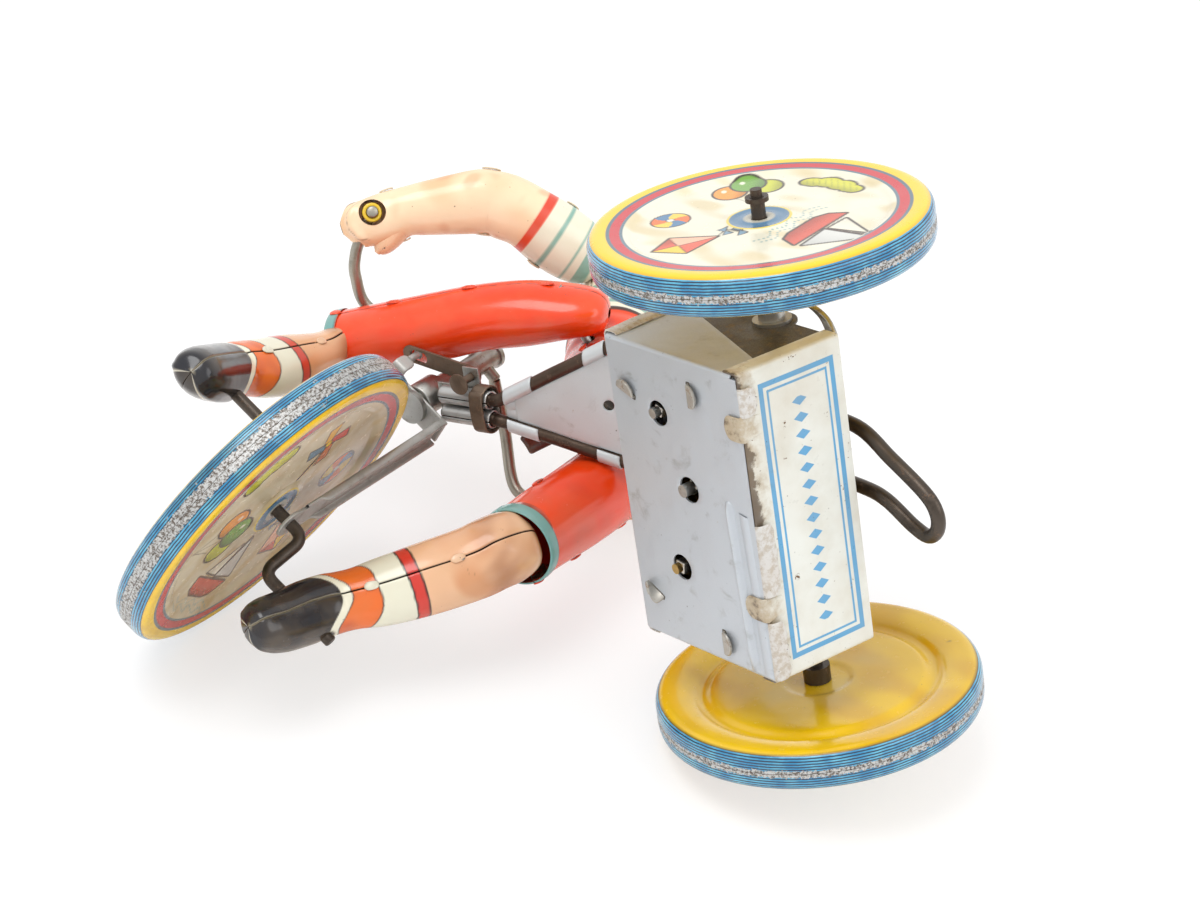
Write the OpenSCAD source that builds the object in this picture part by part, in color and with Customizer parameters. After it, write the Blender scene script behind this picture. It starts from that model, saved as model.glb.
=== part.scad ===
// Clockwork tin tricycle with a rider. Millimetres, +X forward, +Y left, +Z up.
// The origin is on the ground under the rear axle.

/* [Wheels] */
// Diameter of the rear wheels
rear_d = 76; // [72:1:80]
// Diameter of the front wheel
front_d = 86.4; // [82:0.4:89]
// Width over the tread of every wheel
tread_w = 9.5; // [8.5:0.5:10.5]
// Distance between the middle planes of the rear wheels
track = 113; // [110:1:120]
// Distance from the rear axle to the front axle
wheelbase = 124.3; // [122:0.5:128]
// Thickness of the tinplate
tin = 0.5; // [0.4:0.05:0.6]

/* [Steering] */
// Backward lean of the steering axis in degrees
rake = 27.3; // [25:0.5:29]
// Angle of the front wheel at rest, negative to the right
steer = -49; // [-52:1:-45]
// Height of the fork crown above the front axle, along the steering axis
crown_h = 56.6; // [56:0.2:57.4]
// Gap between the two fork legs
fork_gap = 16; // [15:0.5:17]
// Turn of the handlebar against the fork
bar_turn = 8.5; // [7:0.5:10]
// Height of the handlebar in the stem above the front axle
bar_h = 84; // [83.5:0.5:85]
// Diameter of the handlebar wire
bar_d = 3; // [2.6:0.1:3.2]

/* [Crank] */
// Radius of the pedal cranks
crank_r = 13; // [11:0.5:14]
// Angle of the left crank from the steering axis, negative backwards
crank_angle = -22; // [-30:1:-14]
// Distance of the crank arms from the middle of the wheel
crank_y = 13.5; // [13:0.5:14.5]
// Distance of the pedal pin ends from the middle of the wheel
pin_end_y = 36; // [34:1:38]
// Diameter of the crank wire
crank_d = 3; // [2.6:0.1:3.2]

/* [Motor] */
// Tilt of the motor box, front end up
motor_tilt = 43.2; // [41:0.5:45]
// Length of the motor box
box_l = 47; // [46:0.5:50]
// Width of the motor box
box_w = 73.7; // [72:0.5:76]
// Depth of the motor box
box_h = 28; // [27.5:0.5:30]
// How far the rear plate stands behind the axle
box_rear = 20; // [19.5:0.5:21]
// Height of the box's upper edge over the axle's centre
box_rim = 1.4; // [1:0.2:2]
// Thickness of the motor box sheet
sheet = 0.6; // [0.5:0.05:0.7]
// Diameter of the rear axle
axle_d = 3.2; // [3:0.1:3.4]
// Diameter of the wheel train's arbors
arbor_d = 2.4; // [2:0.1:2.6]
// Module of the spur gears
gear_m = 0.8; // [0.78:0.01:0.82]
// Diameter of the key wire
key_wire = 3.3; // [3:0.1:3.5]

/* [Frame] */
// Height of the frame rods behind the head
rod_z = 83; // [82:0.5:84]
// Diameter of the frame rods
rod_d = 3.2; // [3:0.1:3.4]

/* [Rider] */
// Place of the rider's middle along the frame
rider_x = 51.4; // [51:0.1:52]
// Place of the rider's middle to the left
rider_y = -4; // [-4.3:0.1:-3.7]
// Turn of the rider on the saddle, negative to the right
rider_yaw = -24; // [-26:1:-22]
// Height of the hip rivets
hip_z = 109.8; // [108:0.5:111]
// Distance of the hip rivets from the rider's middle
hip_y = 19; // [18.5:0.5:20]
// Length of the thigh from the hip rivet to the cuff
thigh_l = 55.8; // [54.8:0.2:56.4]
// Length of the lower leg from the knee to the pedal pin
shin_l = 51; // [50:0.5:52]
// Height of the shoulders
shoulder_z = 143; // [142:0.5:144]
// Distance of the arms' upper ends from the rider's middle
shoulder_y = 25.5; // [25:0.5:26.5]
// Height of the head above the neck
head_h = 45; // [42:1:48]

/* [Hidden] */
$fn = 48;

rear_r = rear_d / 2;
front_r = front_d / 2;
axle_r = axle_d / 2;
arbor_r = arbor_d / 2;
wind_r = arbor_r + 0.3;
rod_r = rod_d / 2;
bar_r = bar_d / 2;
wire_r = crank_d / 2;
key_r = key_wire / 2;
press = 0.01; // radial clearance of a pressed joint
run = 0.06; // radial clearance of a running joint
seam = 0.05; // half of the gap between two pressed halves
hub_h = 3; // how far a printed hub stands over the tread's edge
box_x0 = -box_rear;
box_x1 = box_l - box_rear;
box_y = box_w / 2;
box_z0 = box_rim - box_h;
wall_y = box_y - sheet;
plate_z = -7.3; // underside of the movement plate
wheel_z = -22.6; // underside of the spur gears
arbor_b = [4, 4.7]; // winding arbor
arbor_a = arbor_b + gear_m * 23 * [0.396, 0.918]; // governor arbor
arbor_c = arbor_b + gear_m * 28 * [0.314, -0.949]; // second arbor
crown_r = 13; // middle of the crown wheel's teeth
pinion_y = arbor_b[1] - sqrt(crown_r * crown_r - arbor_b[0] * arbor_b[0]);
key_z = 7; // height of the key over the axle
sleeve_s = crown_h + 2.9; // height of the head sleeves along the steering axis
stem_r = 3;
pin_r = 1.1; // hip rivets
ring_r = bar_r + 1; // rings on the wire ends
hand_play = 1.9; // room of the hands round the wire

// Unit vector
function unit(v) = v / norm(v);
// A point given in the turned fork's frame
function fork_pt(p) = let(
    x1 = p[0] * cos(steer) - p[1] * sin(steer),
    y1 = p[0] * sin(steer) + p[1] * cos(steer))
  [wheelbase + x1 * cos(rake) - p[2] * sin(rake), y1,
   front_r + x1 * sin(rake) + p[2] * cos(rake)];
// A point given in the rider's frame
function rider_pt(p) = [
  rider_x + p[0] * cos(rider_yaw) - p[1] * sin(rider_yaw),
  rider_y + p[0] * sin(rider_yaw) + p[1] * cos(rider_yaw), p[2]];
// A point given in the handlebar's frame
function bar_pt(p) = fork_pt([p[0] * cos(bar_turn) - p[1] * sin(bar_turn),
  p[0] * sin(bar_turn) + p[1] * cos(bar_turn), p[2]]);
// Points of a smooth curve through p, n steps between neighbours
function curve(p, n) = let(k = len(p) - 1) concat([for (i = [0 : k - 1], j = [0 : n - 1])
  let(t = j / n, a = p[max(i - 1, 0)], b = p[i], c = p[i + 1], d = p[min(i + 2, k)])
  0.5 * (2 * b + (c - a) * t + (2 * a - 5 * b + 4 * c - d) * t * t
    + (3 * b - a - 3 * c + d) * t * t * t)], [p[k]]);

module in_head() translate([wheelbase, 0, front_r]) rotate([0, -rake, 0]) children();
module in_fork() in_head() rotate([0, 0, steer]) children();
module in_bar() in_fork() rotate([0, 0, bar_turn]) children();
module in_motor() translate([0, 0, rear_r]) rotate([0, -motor_tilt, 0]) children();
module in_rider() translate([rider_x, rider_y, 0]) rotate([0, 0, rider_yaw]) children();
// The flat of the frame rods, x forward from their rear ends
rods_x0 = 33;
rods_slope = 3.56;
module in_rods() translate([rods_x0, 0, rod_z - 0.6]) rotate([0, -rods_slope, 0]) children();

// A round bar from a to b
module bar(a, b, r) {
  d = b - a;
  translate(a) rotate([0, acos(d[2] / norm(d)), atan2(d[1], d[0])]) cylinder(r = r, h = norm(d));
}
// A wire through a list of points, with round elbows
module wire(pts, r) {
  for (i = [0 : len(pts) - 2]) bar(pts[i], pts[i + 1], r);
  for (i = [1 : len(pts) - 2]) translate(pts[i]) sphere(r = r);
}

// A bent wire as one smooth sweep; up is a direction the wire never runs in
module sweep(pts, r, up, loop = false, m = 12) {
  k = len(pts);
  rings = [for (i = [0 : k - 1]) let(
      a = loop ? pts[(i + k - 1) % k] : pts[max(i - 1, 0)],
      b = loop ? pts[(i + 1) % k] : pts[min(i + 1, k - 1)],
      t = unit(b - a), u = unit(up - (up * t) * t), v = cross(t, u))
    for (j = [0 : m - 1]) pts[i] + r * (cos(360 * j / m) * u + sin(360 * j / m) * v)];
  sides = [for (i = [0 : loop ? k - 1 : k - 2], j = [0 : m - 1])
    let(a = i * m, b = ((i + 1) % k) * m, c = (j + 1) % m)
    each [[a + j, a + c, b + j], [a + c, b + c, b + j]]];
  e = (k - 1) * m;
  ends = loop ? [] : [for (j = [1 : m - 2]) each [[0, j + 1, j], [e, e + j, e + j + 1]]];
  polyhedron(rings, concat(sides, ends));
}

// One ring of a pressed half: outer edge, then inner edge backwards
function shell_ring(C, S, up, w, n, turn, i) = let(
    k = len(C) - 1, p = max(i - 1, 0), q = min(i + 1, k),
    t = unit(C[q] - C[p]), u = unit(up - (up * t) * t), v = cross(t, u),
    slope = atan2((S[q][0] + S[q][1] - S[p][0] - S[p][1]) / 2, norm(C[q] - C[p])),
    inner = C[i] + w * sin(slope) * t, wr = w * cos(slope), g = turn == 0 ? seam : -seam)
  concat([for (j = [0 : n]) let(h = turn + 180 * j / n)
      C[i] + S[i][0] * cos(h) * u + (S[i][1] * sin(h) + g) * v],
    [for (j = [n : -1 : 0]) let(h = turn + 180 * j / n)
      inner + max(S[i][0] - wr, 0.15) * cos(h) * u + (max(S[i][1] - wr, 0.15) * sin(h) + g) * v]);
// A pressed half of an oval tube. C centres, S half widths along up and across it.
module half_shell(C, S, up, turn, w = tin, n = 9) {
  k = len(C) - 1;
  m = 2 * n + 2;
  pts = [for (i = [0 : k]) each shell_ring(C, S, up, w, n, turn, i)];
  sides = [for (i = [0 : k - 1], j = [0 : m - 1]) let(a = i * m + j, b = i * m + (j + 1) % m)
    each [[a, b, a + m], [b, b + m, a + m]]];
  first = [for (j = [0 : n - 1]) each [[j, m - 1 - j, j + 1], [m - 1 - j, m - 2 - j, j + 1]]];
  last = [for (f = first) [f[0] + k * m, f[2] + k * m, f[1] + k * m]];
  polyhedron(pts, concat(sides, first, last));
}

// A line moved sideways by d, square to its own course
function offset_line(p, d) = let(k = len(p) - 1) [for (i = [0 : k]) let(
    a = unit(p[min(i + 1, k)] - p[min(i, k - 1)]), b = unit(p[max(i, 1)] - p[max(i - 1, 0)]),
    na = [-a[1], a[0]], nb = [-b[1], b[0]], s = unit(na + nb)) p[i] + s * d / (s * na)];
// A pressed dish of tinplate turned round the wheel's axis
module dish(line, bore) {
  back = offset_line(line, -tin);
  rotate_extrude($fn = 96) difference() {
    polygon(concat(line, [for (i = [len(back) - 1 : -1 : 0]) back[i]]));
    translate([0, -20]) square([bore, 40]);
  }
}
module printed_dish(r, bore) {
  w = tread_w / 2;
  dish([[0.5, w + hub_h], [3.2, w + hub_h], [4.6, w + hub_h - 0.8], [6.4, w - 0.6], [8, w - 1.2],
    [r * 0.73, w - 1.3], [r * 0.77, w - 0.3], [r - 2.4, w], [r - 1.1, w - 0.15],
    [r - 0.35, w - 0.7], [r, w - 1.6], [r, 0.05]], bore);
}
module plain_dish(r, bore) {
  w = tread_w / 2;
  dish([[0.5, w - 1.8], [7, w - 1.8], [8.4, w - 1.3], [r * 0.66, w - 1.3], [r * 0.69, w - 2.4],
    [r * 0.73, w - 2.4], [r * 0.77, w - 0.8], [r - 2.4, w], [r - 1.1, w - 0.15],
    [r - 0.35, w - 0.7], [r, w - 1.6], [r, 0.05]], bore);
}

// A spur gear of sheet, with its first tooth centred at the angle phase
module spur(teeth, h, phase) {
  r = gear_m * teeth / 2;
  a = 180 / teeth;
  linear_extrude(h) polygon([for (i = [0 : teeth - 1], q = [[-1.15, -0.62], [0, -0.42],
    [0.75, -0.2], [0.75, 0.2], [0, 0.42], [-1.15, 0.62]]) (r + q[0] * gear_m)
    * [cos(phase + 2 * a * i + a * q[1]), sin(phase + 2 * a * i + a * q[1])]]);
}

// Motor box
module motor_tray() color("silver") in_motor() difference() {
  union() {
    translate([box_x0 + sheet, -box_y, box_z0]) cube([box_l - sheet, box_w, sheet]);
    translate([box_x1 - sheet, -box_y, box_z0]) cube([sheet, box_w, box_h]);
    for (s = [-1, 1]) translate([0, s > 0 ? box_y : -wall_y, 0]) rotate([90, 0, 0])
      linear_extrude(sheet) polygon([[box_x0 + sheet, box_z0], [box_x1, box_z0],
        [box_x1, box_rim], [box_x1 - 6, box_rim - 1.5], [box_x1 - 12, box_rim - 9],
        [box_x0 + sheet, box_z0 + 8]]);
    translate([-9.3, 5.1, box_z0 + 0.15]) rotate([0, 0, -93.7]) rotate([0, 90, 0])
      scale([0.5, 1, 1]) cylinder(r = 2.2, h = 30);
  }
  for (p = [arbor_a, arbor_c]) translate([p[0], p[1], box_z0 - 3]) cylinder(r = arbor_r + run, h = 6);
  translate([arbor_b[0], arbor_b[1], box_z0 - 3]) cylinder(r = wind_r + run, h = 6);
}
module rear_plate() color("ivory") in_motor() {
  translate([box_x0, -box_y, box_z0]) cube([sheet, box_w, box_h]);
  // Tabs folded over the lower edge
  for (i = [0 : 5]) translate([box_x0, 4.85 - box_y + i * (box_w - 15.7) / 5, box_z0 - sheet - 0.02]) {
    cube([4.6, 6, sheet]);
    cube([sheet, 6, 2]);
  }
}
module side_plates() color("dimgray") in_motor() for (s = [-1, 1]) difference() {
  translate([0, s > 0 ? wall_y : -wall_y + sheet, 0]) rotate([90, 0, 0]) linear_extrude(sheet) union() {
    polygon([[box_x0 + sheet, box_z0 + sheet], [box_x1 - sheet, box_z0 + sheet],
      [box_x1 - sheet, box_rim], [box_x0 + sheet, box_rim]]);
    circle(r = 5.6);
  }
  translate([0, s * wall_y, 0]) rotate([90, 0, 0]) cylinder(r = 3 + press, h = 4, center = true);
}
module axle_bush(s) in_motor() translate([0, s * wall_y, 0]) rotate([s > 0 ? -90 : 90, 0, 0]) difference() {
  union() {
    translate([0, 0, -1.6]) cylinder(r = 3, h = 4.6);
    cylinder(r = 4.4, h = 0.7);
  }
  translate([0, 0, -3]) cylinder(r = axle_r + run, h = 9);
}
module axle_bush_left() color("gray") axle_bush(1);
module axle_bush_right() color("gray") axle_bush(-1);
post_y = box_y - 7.85;
posts = [[-14, -post_y], [21, -post_y], [-14, post_y], [21, post_y]];
module movement_plate() color("gold") in_motor() difference() {
  translate([box_x0 + 2, -box_y + 2.5, plate_z]) cube([box_l - 4, box_w - 5, 0.8]);
  for (p = posts) translate([p[0], p[1], plate_z - 1]) cylinder(r = 1.2 + press, h = 3);
  for (p = [arbor_a, arbor_c]) translate([p[0], p[1], plate_z - 1]) cylinder(r = arbor_r + run, h = 3);
  translate([arbor_b[0], arbor_b[1], plate_z - 1]) cylinder(r = wind_r + run, h = 3);
}
module pillars() color("silver") in_motor() for (p = posts) translate([p[0], p[1], 0]) {
  translate([0, 0, box_z0 + sheet]) cylinder(r = 2, h = plate_z - box_z0 - sheet);
  translate([0, 0, plate_z]) cylinder(r = 1.2, h = 1.4);
}
// Lugs that come through the tray: x, y, turn, length
lugs = [[21, box_y - 12.45, 20, 5], [21, 11.65 - box_y, 25, 5], [-1.5, box_y - 8.25, 90, 5.4],
  [-2.2, 5.45 - box_y, 90, 5.4]];
module clinch_lugs() color("silver") in_motor() for (g = lugs) translate([g[0], g[1], box_z0 - 2.6])
  rotate([0, 0, g[2]]) translate([-g[3] / 2, -0.4, 0]) cube([g[3], 0.8, 2.59]);
module mainspring() color("slategray") in_motor() translate([arbor_b[0], arbor_b[1], -18])
  linear_extrude(9) polygon(concat(
    [for (i = [0 : 72]) (3.6 + i * 9.6 / 72) * [cos(i * 20), sin(i * 20)]],
    [for (i = [72 : -1 : 0]) (4.1 + i * 9.6 / 72) * [cos(i * 20), sin(i * 20)]]));
module corner_hook() color("dimgray") in_motor()
  translate([0, box_y, 0]) sweep(curve([[-18.1, -7.85, -3], [-17.2, -3.45, 1.9], [-14.6, 0.75, 3.3],
    [-11, 3.35, 3.4], [-6.5, 4.15, 3.2]], 2), 1.2, [1, 0, 0]);

// Gear train and key
phase_b = atan2(arbor_a[1] - arbor_b[1], arbor_a[0] - arbor_b[0]);
phase_c = atan2(arbor_c[1] - arbor_b[1], arbor_c[0] - arbor_b[0]);
mesh_angle = atan2(pinion_y - arbor_b[1], -arbor_b[0]);
module winding_arbor() color("dimgray") in_motor() translate([arbor_b[0], arbor_b[1], 0]) difference() {
  union() {
    translate([0, 0, box_z0 - 1.4]) cylinder(r = wind_r, h = key_z + 3 - box_z0 + 1.4);
    translate([0, 0, key_z - 3]) cylinder(r = 3.1, h = 5.9);
  }
  translate([0, 0, key_z]) rotate([90, 0, 0]) cylinder(r = key_r + press, h = 12, center = true);
}
module winding_key() color("#2a2320") in_motor() translate([arbor_b[0], arbor_b[1], key_z])
  sweep(concat([[0, -4.4, 0], [0, 4.4, 0], [-0.5, 6, 0], [-1.7, 7.1, 0]],
    curve([[-3.4, 7.4, 0], [-20, 7.4, 0], [-30, 2.2, 0], [-39.8, -3.6, 0], [-42.9, -7.6, 0],
      [-42.6, -11.6, 0], [-39.6, -14, 0], [-35, -12.8, 0], [-27, -8.6, 0], [-19.5, -7.4, 0],
      [-3.4, -7.4, 0]], 3), [[-1.7, -7.1, 0], [-0.5, -6, 0]]), key_r, [0, 0, 1], true);
module great_wheel() color("gold") in_motor() translate([arbor_b[0], arbor_b[1], wheel_z]) difference() {
  union() {
    spur(38, 1.4, phase_b);
    translate([0, 0, 0.7]) cylinder(r = 3, h = 2.6);
  }
  translate([0, 0, -1]) cylinder(r = wind_r + press, h = 7);
}
module crown_wheel() color("gold") in_motor() translate([arbor_b[0], arbor_b[1], 0]) difference() {
  union() {
    translate([0, 0, -4.8]) cylinder(r = crown_r + 1.1, h = 0.9);
    translate([0, 0, -5.8]) cylinder(r = 3, h = 1.8);
    for (i = [0 : 35]) rotate([0, 0, mesh_angle + 5 + 10 * i])
      translate([crown_r - 1, -0.36, -4]) cube([2, 0.72, 1.9]);
  }
  translate([0, 0, -8]) cylinder(r = wind_r + press, h = 9);
}
module second_arbor() color("gold") in_motor() translate([arbor_c[0], arbor_c[1], 0]) {
  translate([0, 0, box_z0 - 1.2]) cylinder(r = arbor_r, h = plate_z - box_z0 + 2.6);
  translate([0, 0, wheel_z]) spur(18, 1.4, phase_c + 180 + (phase_c - phase_b) * 38 / 18 + 10);
}
module governor_arbor() color("gray") in_motor() translate([arbor_a[0], arbor_a[1], 0]) {
  translate([0, 0, box_z0 - 1.2]) cylinder(r = arbor_r, h = plate_z - box_z0 + 2.6);
  translate([0, 0, wheel_z - 0.4]) spur(8, 2.4, phase_b + 202.5);
}
module governor_fan() color("silver") in_motor() translate([arbor_a[0], arbor_a[1], -18]) difference() {
  union() {
    cylinder(r = 2, h = 8);
    translate([-3.9, -0.3, 0]) cube([7.8, 0.6, 8]);
  }
  translate([0, 0, -1]) cylinder(r = arbor_r + press, h = 10);
}

// Rear axle and wheels
module on_axle(y) translate([0, y, rear_r]) rotate([y > 0 ? -90 : 90, 0, 0]) children();
collar_end = track / 2 + tread_w / 2 + hub_h + 1.05;
end_r = axle_r - 0.3; // turned down ends of the axle
end_l = 1.6;
module rear_axle() color("dimgray") translate([0, 0, rear_r]) rotate([-90, 0, 0]) {
  cylinder(r = axle_r, h = 2 * collar_end + 0.2, center = true);
  cylinder(r = end_r, h = 2 * (collar_end + 0.1 + end_l), center = true);
}
module axle_collars() color("gray") for (s = [-1, 1]) {
  on_axle(s * 49.4) difference() {
    cylinder(r = 3.2, h = 4);
    translate([0, 0, -1]) cylinder(r = axle_r + press, h = 6);
  }
  on_axle(s * (track / 2 + tread_w / 2 + hub_h + 0.05)) difference() {
    cylinder(r = 2.6, h = 1);
    translate([0, 0, -1]) cylinder(r = axle_r + press, h = 3);
  }
}
module axle_pinion() color("gold") in_motor()
  translate([0, pinion_y - 1, 0]) rotate([-90, 0, 0]) difference() {
  linear_extrude(2) {
    circle(r = 1.95);
    for (i = [0 : 7]) rotate(90 + 45 * i) translate([1.5, -0.27]) square([1.85, 0.54]);
  }
  translate([0, 0, -1]) cylinder(r = axle_r + press, h = 4);
}
module rear_wheel_left_outer() color("blue") on_axle(track / 2) printed_dish(rear_r, axle_r + press);
module rear_wheel_right_outer() color("blue") on_axle(-track / 2) printed_dish(rear_r, axle_r + press);
module rear_wheel_left_inner() color("gold")
  on_axle(track / 2) mirror([0, 0, 1]) plain_dish(rear_r, axle_r + press);
module rear_wheel_right_inner() color("gold")
  on_axle(-track / 2) mirror([0, 0, 1]) plain_dish(rear_r, axle_r + press);

// Frame
rod_end_y = 20.8;
rod_run = 42.7; // length of the rods behind the sleeves
function rod_y(x) = rod_end_y - (rod_end_y - 2.5) * x / rod_run;
function head_pt(x, y, s) =
  [wheelbase + x * cos(rake) - s * sin(rake), y, front_r + x * sin(rake) + s * cos(rake)];
module frame_rod(s) {
  rear = [rods_x0, s * rod_end_y, rod_z - 0.6];
  k = [rods_x0 + rod_run * cos(rods_slope), s * 2.5, rod_z - 0.6 + rod_run * sin(rods_slope)];
  m = head_pt(-22.4, s * 2.5, sleeve_s);
  front = head_pt(-7, s * 2.5, sleeve_s);
  sweep([rear, k - 1.2 * unit(k - rear), k - 0.3 * unit(k - rear) + 0.3 * unit(m - k),
    k + 0.9 * unit(m - k), m + 0.2 * unit(front - m), front], rod_r, [0, 0, 1], m = 20);
}
module frame_rod_left() color("#40302a") frame_rod(1);
module frame_rod_right() color("#40302a") frame_rod(-1);
module head_sleeves() color("silver") for (s = [-1, 1]) difference() {
  bar(head_pt(-22, s * 2.5, sleeve_s), head_pt(-7.6, s * 2.5, sleeve_s), 2.3);
  bar(head_pt(-24, s * 2.5, sleeve_s), head_pt(-6, s * 2.5, sleeve_s), rod_r + press);
}
// A tab rolled round a frame rod from x to x + l
module rolled_tab(x, l, s) in_rods() difference() {
  bar([x, s * rod_y(x), 0], [x + l, s * rod_y(x + l), 0], rod_r + 0.4);
  bar([x - 1, s * rod_y(x - 1), 0], [x + l + 1, s * rod_y(x + l + 1), 0], rod_r + press);
}
module backbone_plate() color("gray") {
  difference() {
    in_rods() translate([0, 0, -0.35]) linear_extrude(0.7) polygon([
      [3.4, rod_y(3.4) - 2], [38, rod_y(38) - 1.9], [38, -rod_y(38) + 1.9], [3.4, -rod_y(3.4) + 2]]);
    in_rods() translate([15, 0, 0]) cylinder(r = 1.4, h = 4, center = true);
  }
  for (s = [-1, 1]) {
    rolled_tab(25, 7.5, s);
    rolled_tab(12, 6.5, s);
    rolled_tab(2, 3.6, s);
  }
  intersection() {
    rotate([90, 0, 0]) linear_extrude(60, center = true) polygon([[37.1, 83.0], [36.4, 82.3], [33, 50],
      [31.85, 44.6], [36.6, 39.55], [37.08, 40.03], [32.65, 44.75], [33.7, 49.9]]);
    rotate([90, 0, 90]) linear_extrude(60) polygon([[-17.4, 84], [-8, 38], [8, 38], [17.4, 84]]);
  }
}
module head_strap() color("#6b4b33") in_head() translate([-21.6, 0, sleeve_s + 0.45]) rotate([90, 0, 90])
  linear_extrude(3.6) difference() {
    offset(r = 3.6) square([5, 0.9], center = true);
    offset(r = 2.8) square([5, 0.9], center = true);
  }
module head_collar() color("gray") in_head() {
  difference() {
    union() {
      translate([0, 0, crown_h + 0.7]) cylinder(r = 4.4, h = 8);
      translate([-21.8, -4, sleeve_s + 2.31]) cube([22, 8, 0.7]);
      translate([-17.8, 0, sleeve_s + 2.31]) cube([5.2, 9.6, 0.7]);
    }
    translate([0, 0, crown_h]) cylinder(r = stem_r + run, h = 12);
    translate(concat(link_at, sleeve_s)) cylinder(r = link_pin + press, h = 6);
  }
}
stud_at = [-6.2, fork_gap / 2 + 0.4]; // stud of the fork's ear, in the fork's frame
link_at = [-15.2, 7]; // rivet of the stop link, in the head's frame
link_pin = 1;
link_angle = let(x = stud_at[0] * cos(steer) - stud_at[1] * sin(steer) - link_at[0],
  y = stud_at[0] * sin(steer) + stud_at[1] * cos(steer) - link_at[1]) atan2(y, x);
module stop_link() color("#6b4b33") in_head() translate(concat(link_at, sleeve_s)) {
  difference() {
    translate([0, 0, 3.02]) rotate([0, 0, link_angle]) union() {
      translate([0, -2.2, 0]) cube([19.5, 4.4, 0.7]);
      cylinder(r = 2.2, h = 0.7);
      translate([19.5, 0, 0]) cylinder(r = 2.2, h = 0.7);
    }
    cylinder(r = link_pin + press, h = 6);
    rotate([0, 0, link_angle]) translate([15.3, -1.5, 0]) cube([4.2, 3, 8]);
  }
  translate([0, 0, -3.2]) {
    cylinder(r = 2.7, h = 0.7);
    cylinder(r = link_pin, h = 7.1);
  }
}

// Fork, handlebar and front wheel
module fork_leg(s) difference() {
  union() {
    translate([0, s > 0 ? fork_gap / 2 + 0.8 : -fork_gap / 2, 0]) rotate([90, 0, 0])
      linear_extrude(0.8) union() {
        polygon([[-3, 0], [-3.4, crown_h], [3.4, crown_h], [3, 0]]);
        circle(r = 3.9);
      }
    for (x = [-3.4, 2.7]) translate([x, s > 0 ? fork_gap / 2 : -fork_gap / 2 - 1.9, 9])
      cube([0.7, 1.9, crown_h - 9]);
  }
  translate([0, s * fork_gap / 2, 0]) rotate([90, 0, 0]) cylinder(r = wire_r + run, h = 6, center = true);
}
module fork() color("gray") in_fork() {
  fork_leg(1);
  fork_leg(-1);
  difference() {
    union() {
      translate([-3.4, -fork_gap / 2 - 1.9, crown_h - 0.8]) cube([6.8, fork_gap + 3.8, 0.8]);
      translate([-6.6, fork_gap / 2 - 1.4, crown_h - 0.8]) cube([4, 3.3, 0.8]);
      translate([-6.6, fork_gap / 2 - 1.4, crown_h - 0.8]) cube([0.8, 3.3, 4.4]);
    }
    translate([0, 0, crown_h - 3]) cylinder(r = stem_r + press, h = 5);
  }
  translate(concat(stud_at, crown_h + 3.4)) cylinder(r = 0.9, h = 3.9);
}
module steering_stem() color("gray") in_fork() difference() {
  union() {
    translate([0, 0, crown_h - 1.8]) cylinder(r = stem_r, h = bar_h + 4.4 - crown_h + 1.8);
    translate([0, 0, crown_h - 2.2]) cylinder(r = 4.4, h = 1.39);
    translate([0, 0, bar_h + 4.2]) cylinder(r = 3.5, h = 1.2);
  }
  translate([0, 0, bar_h]) rotate([0, 0, bar_turn]) rotate([90, 0, 0])
    cylinder(r = bar_r + press, h = 10, center = true);
}
bar_line = [[0, 5, bar_h], [8.4, 17, bar_h - 0.8], [12.8, 29.5, bar_h - 6.2], [8.2, 37.4, bar_h - 7.4],
  [4.2, 41.4, bar_h - 6.4], [0.2, 43.9, bar_h - 4.6], [-2.5, 45.9, bar_h - 2.2], [-5.2, 46.3, bar_h - 2.4],
  [-8.1, 45.8, bar_h - 4.4]];
module handlebar() color("silver") in_bar() {
  half = curve(bar_line, 2);
  k = len(half) - 1;
  sweep(concat([for (i = [k : -1 : 0]) [half[i][0], -half[i][1], half[i][2]]], half), bar_r, [0, 0, 1]);
}
module hand_rings() color("yellow") in_bar() for (s = [-1, 1]) mirror([0, s < 0 ? 1 : 0, 0]) {
  a = bar_line[7];
  b = bar_line[8];
  d = unit(b - a);
  difference() {
    bar(b - 1.7 * d, b - 0.5 * d, ring_r);
    bar(a, b + d, bar_r + press);
  }
}
module front_wheel_left() color("blue") in_fork() rotate([-90, 0, 0]) printed_dish(front_r, wire_r + run);
module front_wheel_right() color("blue") in_fork() rotate([90, 0, 0]) printed_dish(front_r, wire_r + run);
crank_x = crank_r * sin(crank_angle);
crank_z = crank_r * cos(crank_angle);
module crank() color("#4a4038") in_fork() wire([[-crank_x, -pin_end_y, -crank_z],
  [-crank_x, -crank_y, -crank_z], [0, -crank_y, 0], [0, crank_y, 0], [crank_x, crank_y, crank_z],
  [crank_x, pin_end_y, crank_z]], wire_r);

// Rider: the body, the head and the saddle
body_c = [for (z = [97, 98.4, 101, 105, 110, 116, 123, 130, 137, 144, 149, 153, 156, 160]) [0, 0, z]];
body_s = [[7, 6], [9.6, 8.6], [11, 11], [11.5, 12.4], [11.6, 13.2], [12.6, 13.2], [14.2, 12.8],
  [15.8, 12.4], [17.2, 12], [18.2, 11.4], [17.4, 10.4], [13, 9], [7.4, 6.8], [5.6, 5.4]];
neck_z = 160.3;
head_c = [for (z = [0, 2, 4.5, 9, 14, 20, 27, 33, 38, 41.5, 44, 45])
  [z < 3 ? 0 : 1.2, 0, neck_z + z * head_h / 45]];
head_s = [[5.2, 5], [6.4, 6.6], [9, 10], [12, 13], [13.4, 14.4], [14, 15], [14, 15], [13, 14.2], [10.8, 12],
  [7.8, 9], [4, 5], [1.2, 1.6]];
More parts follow.
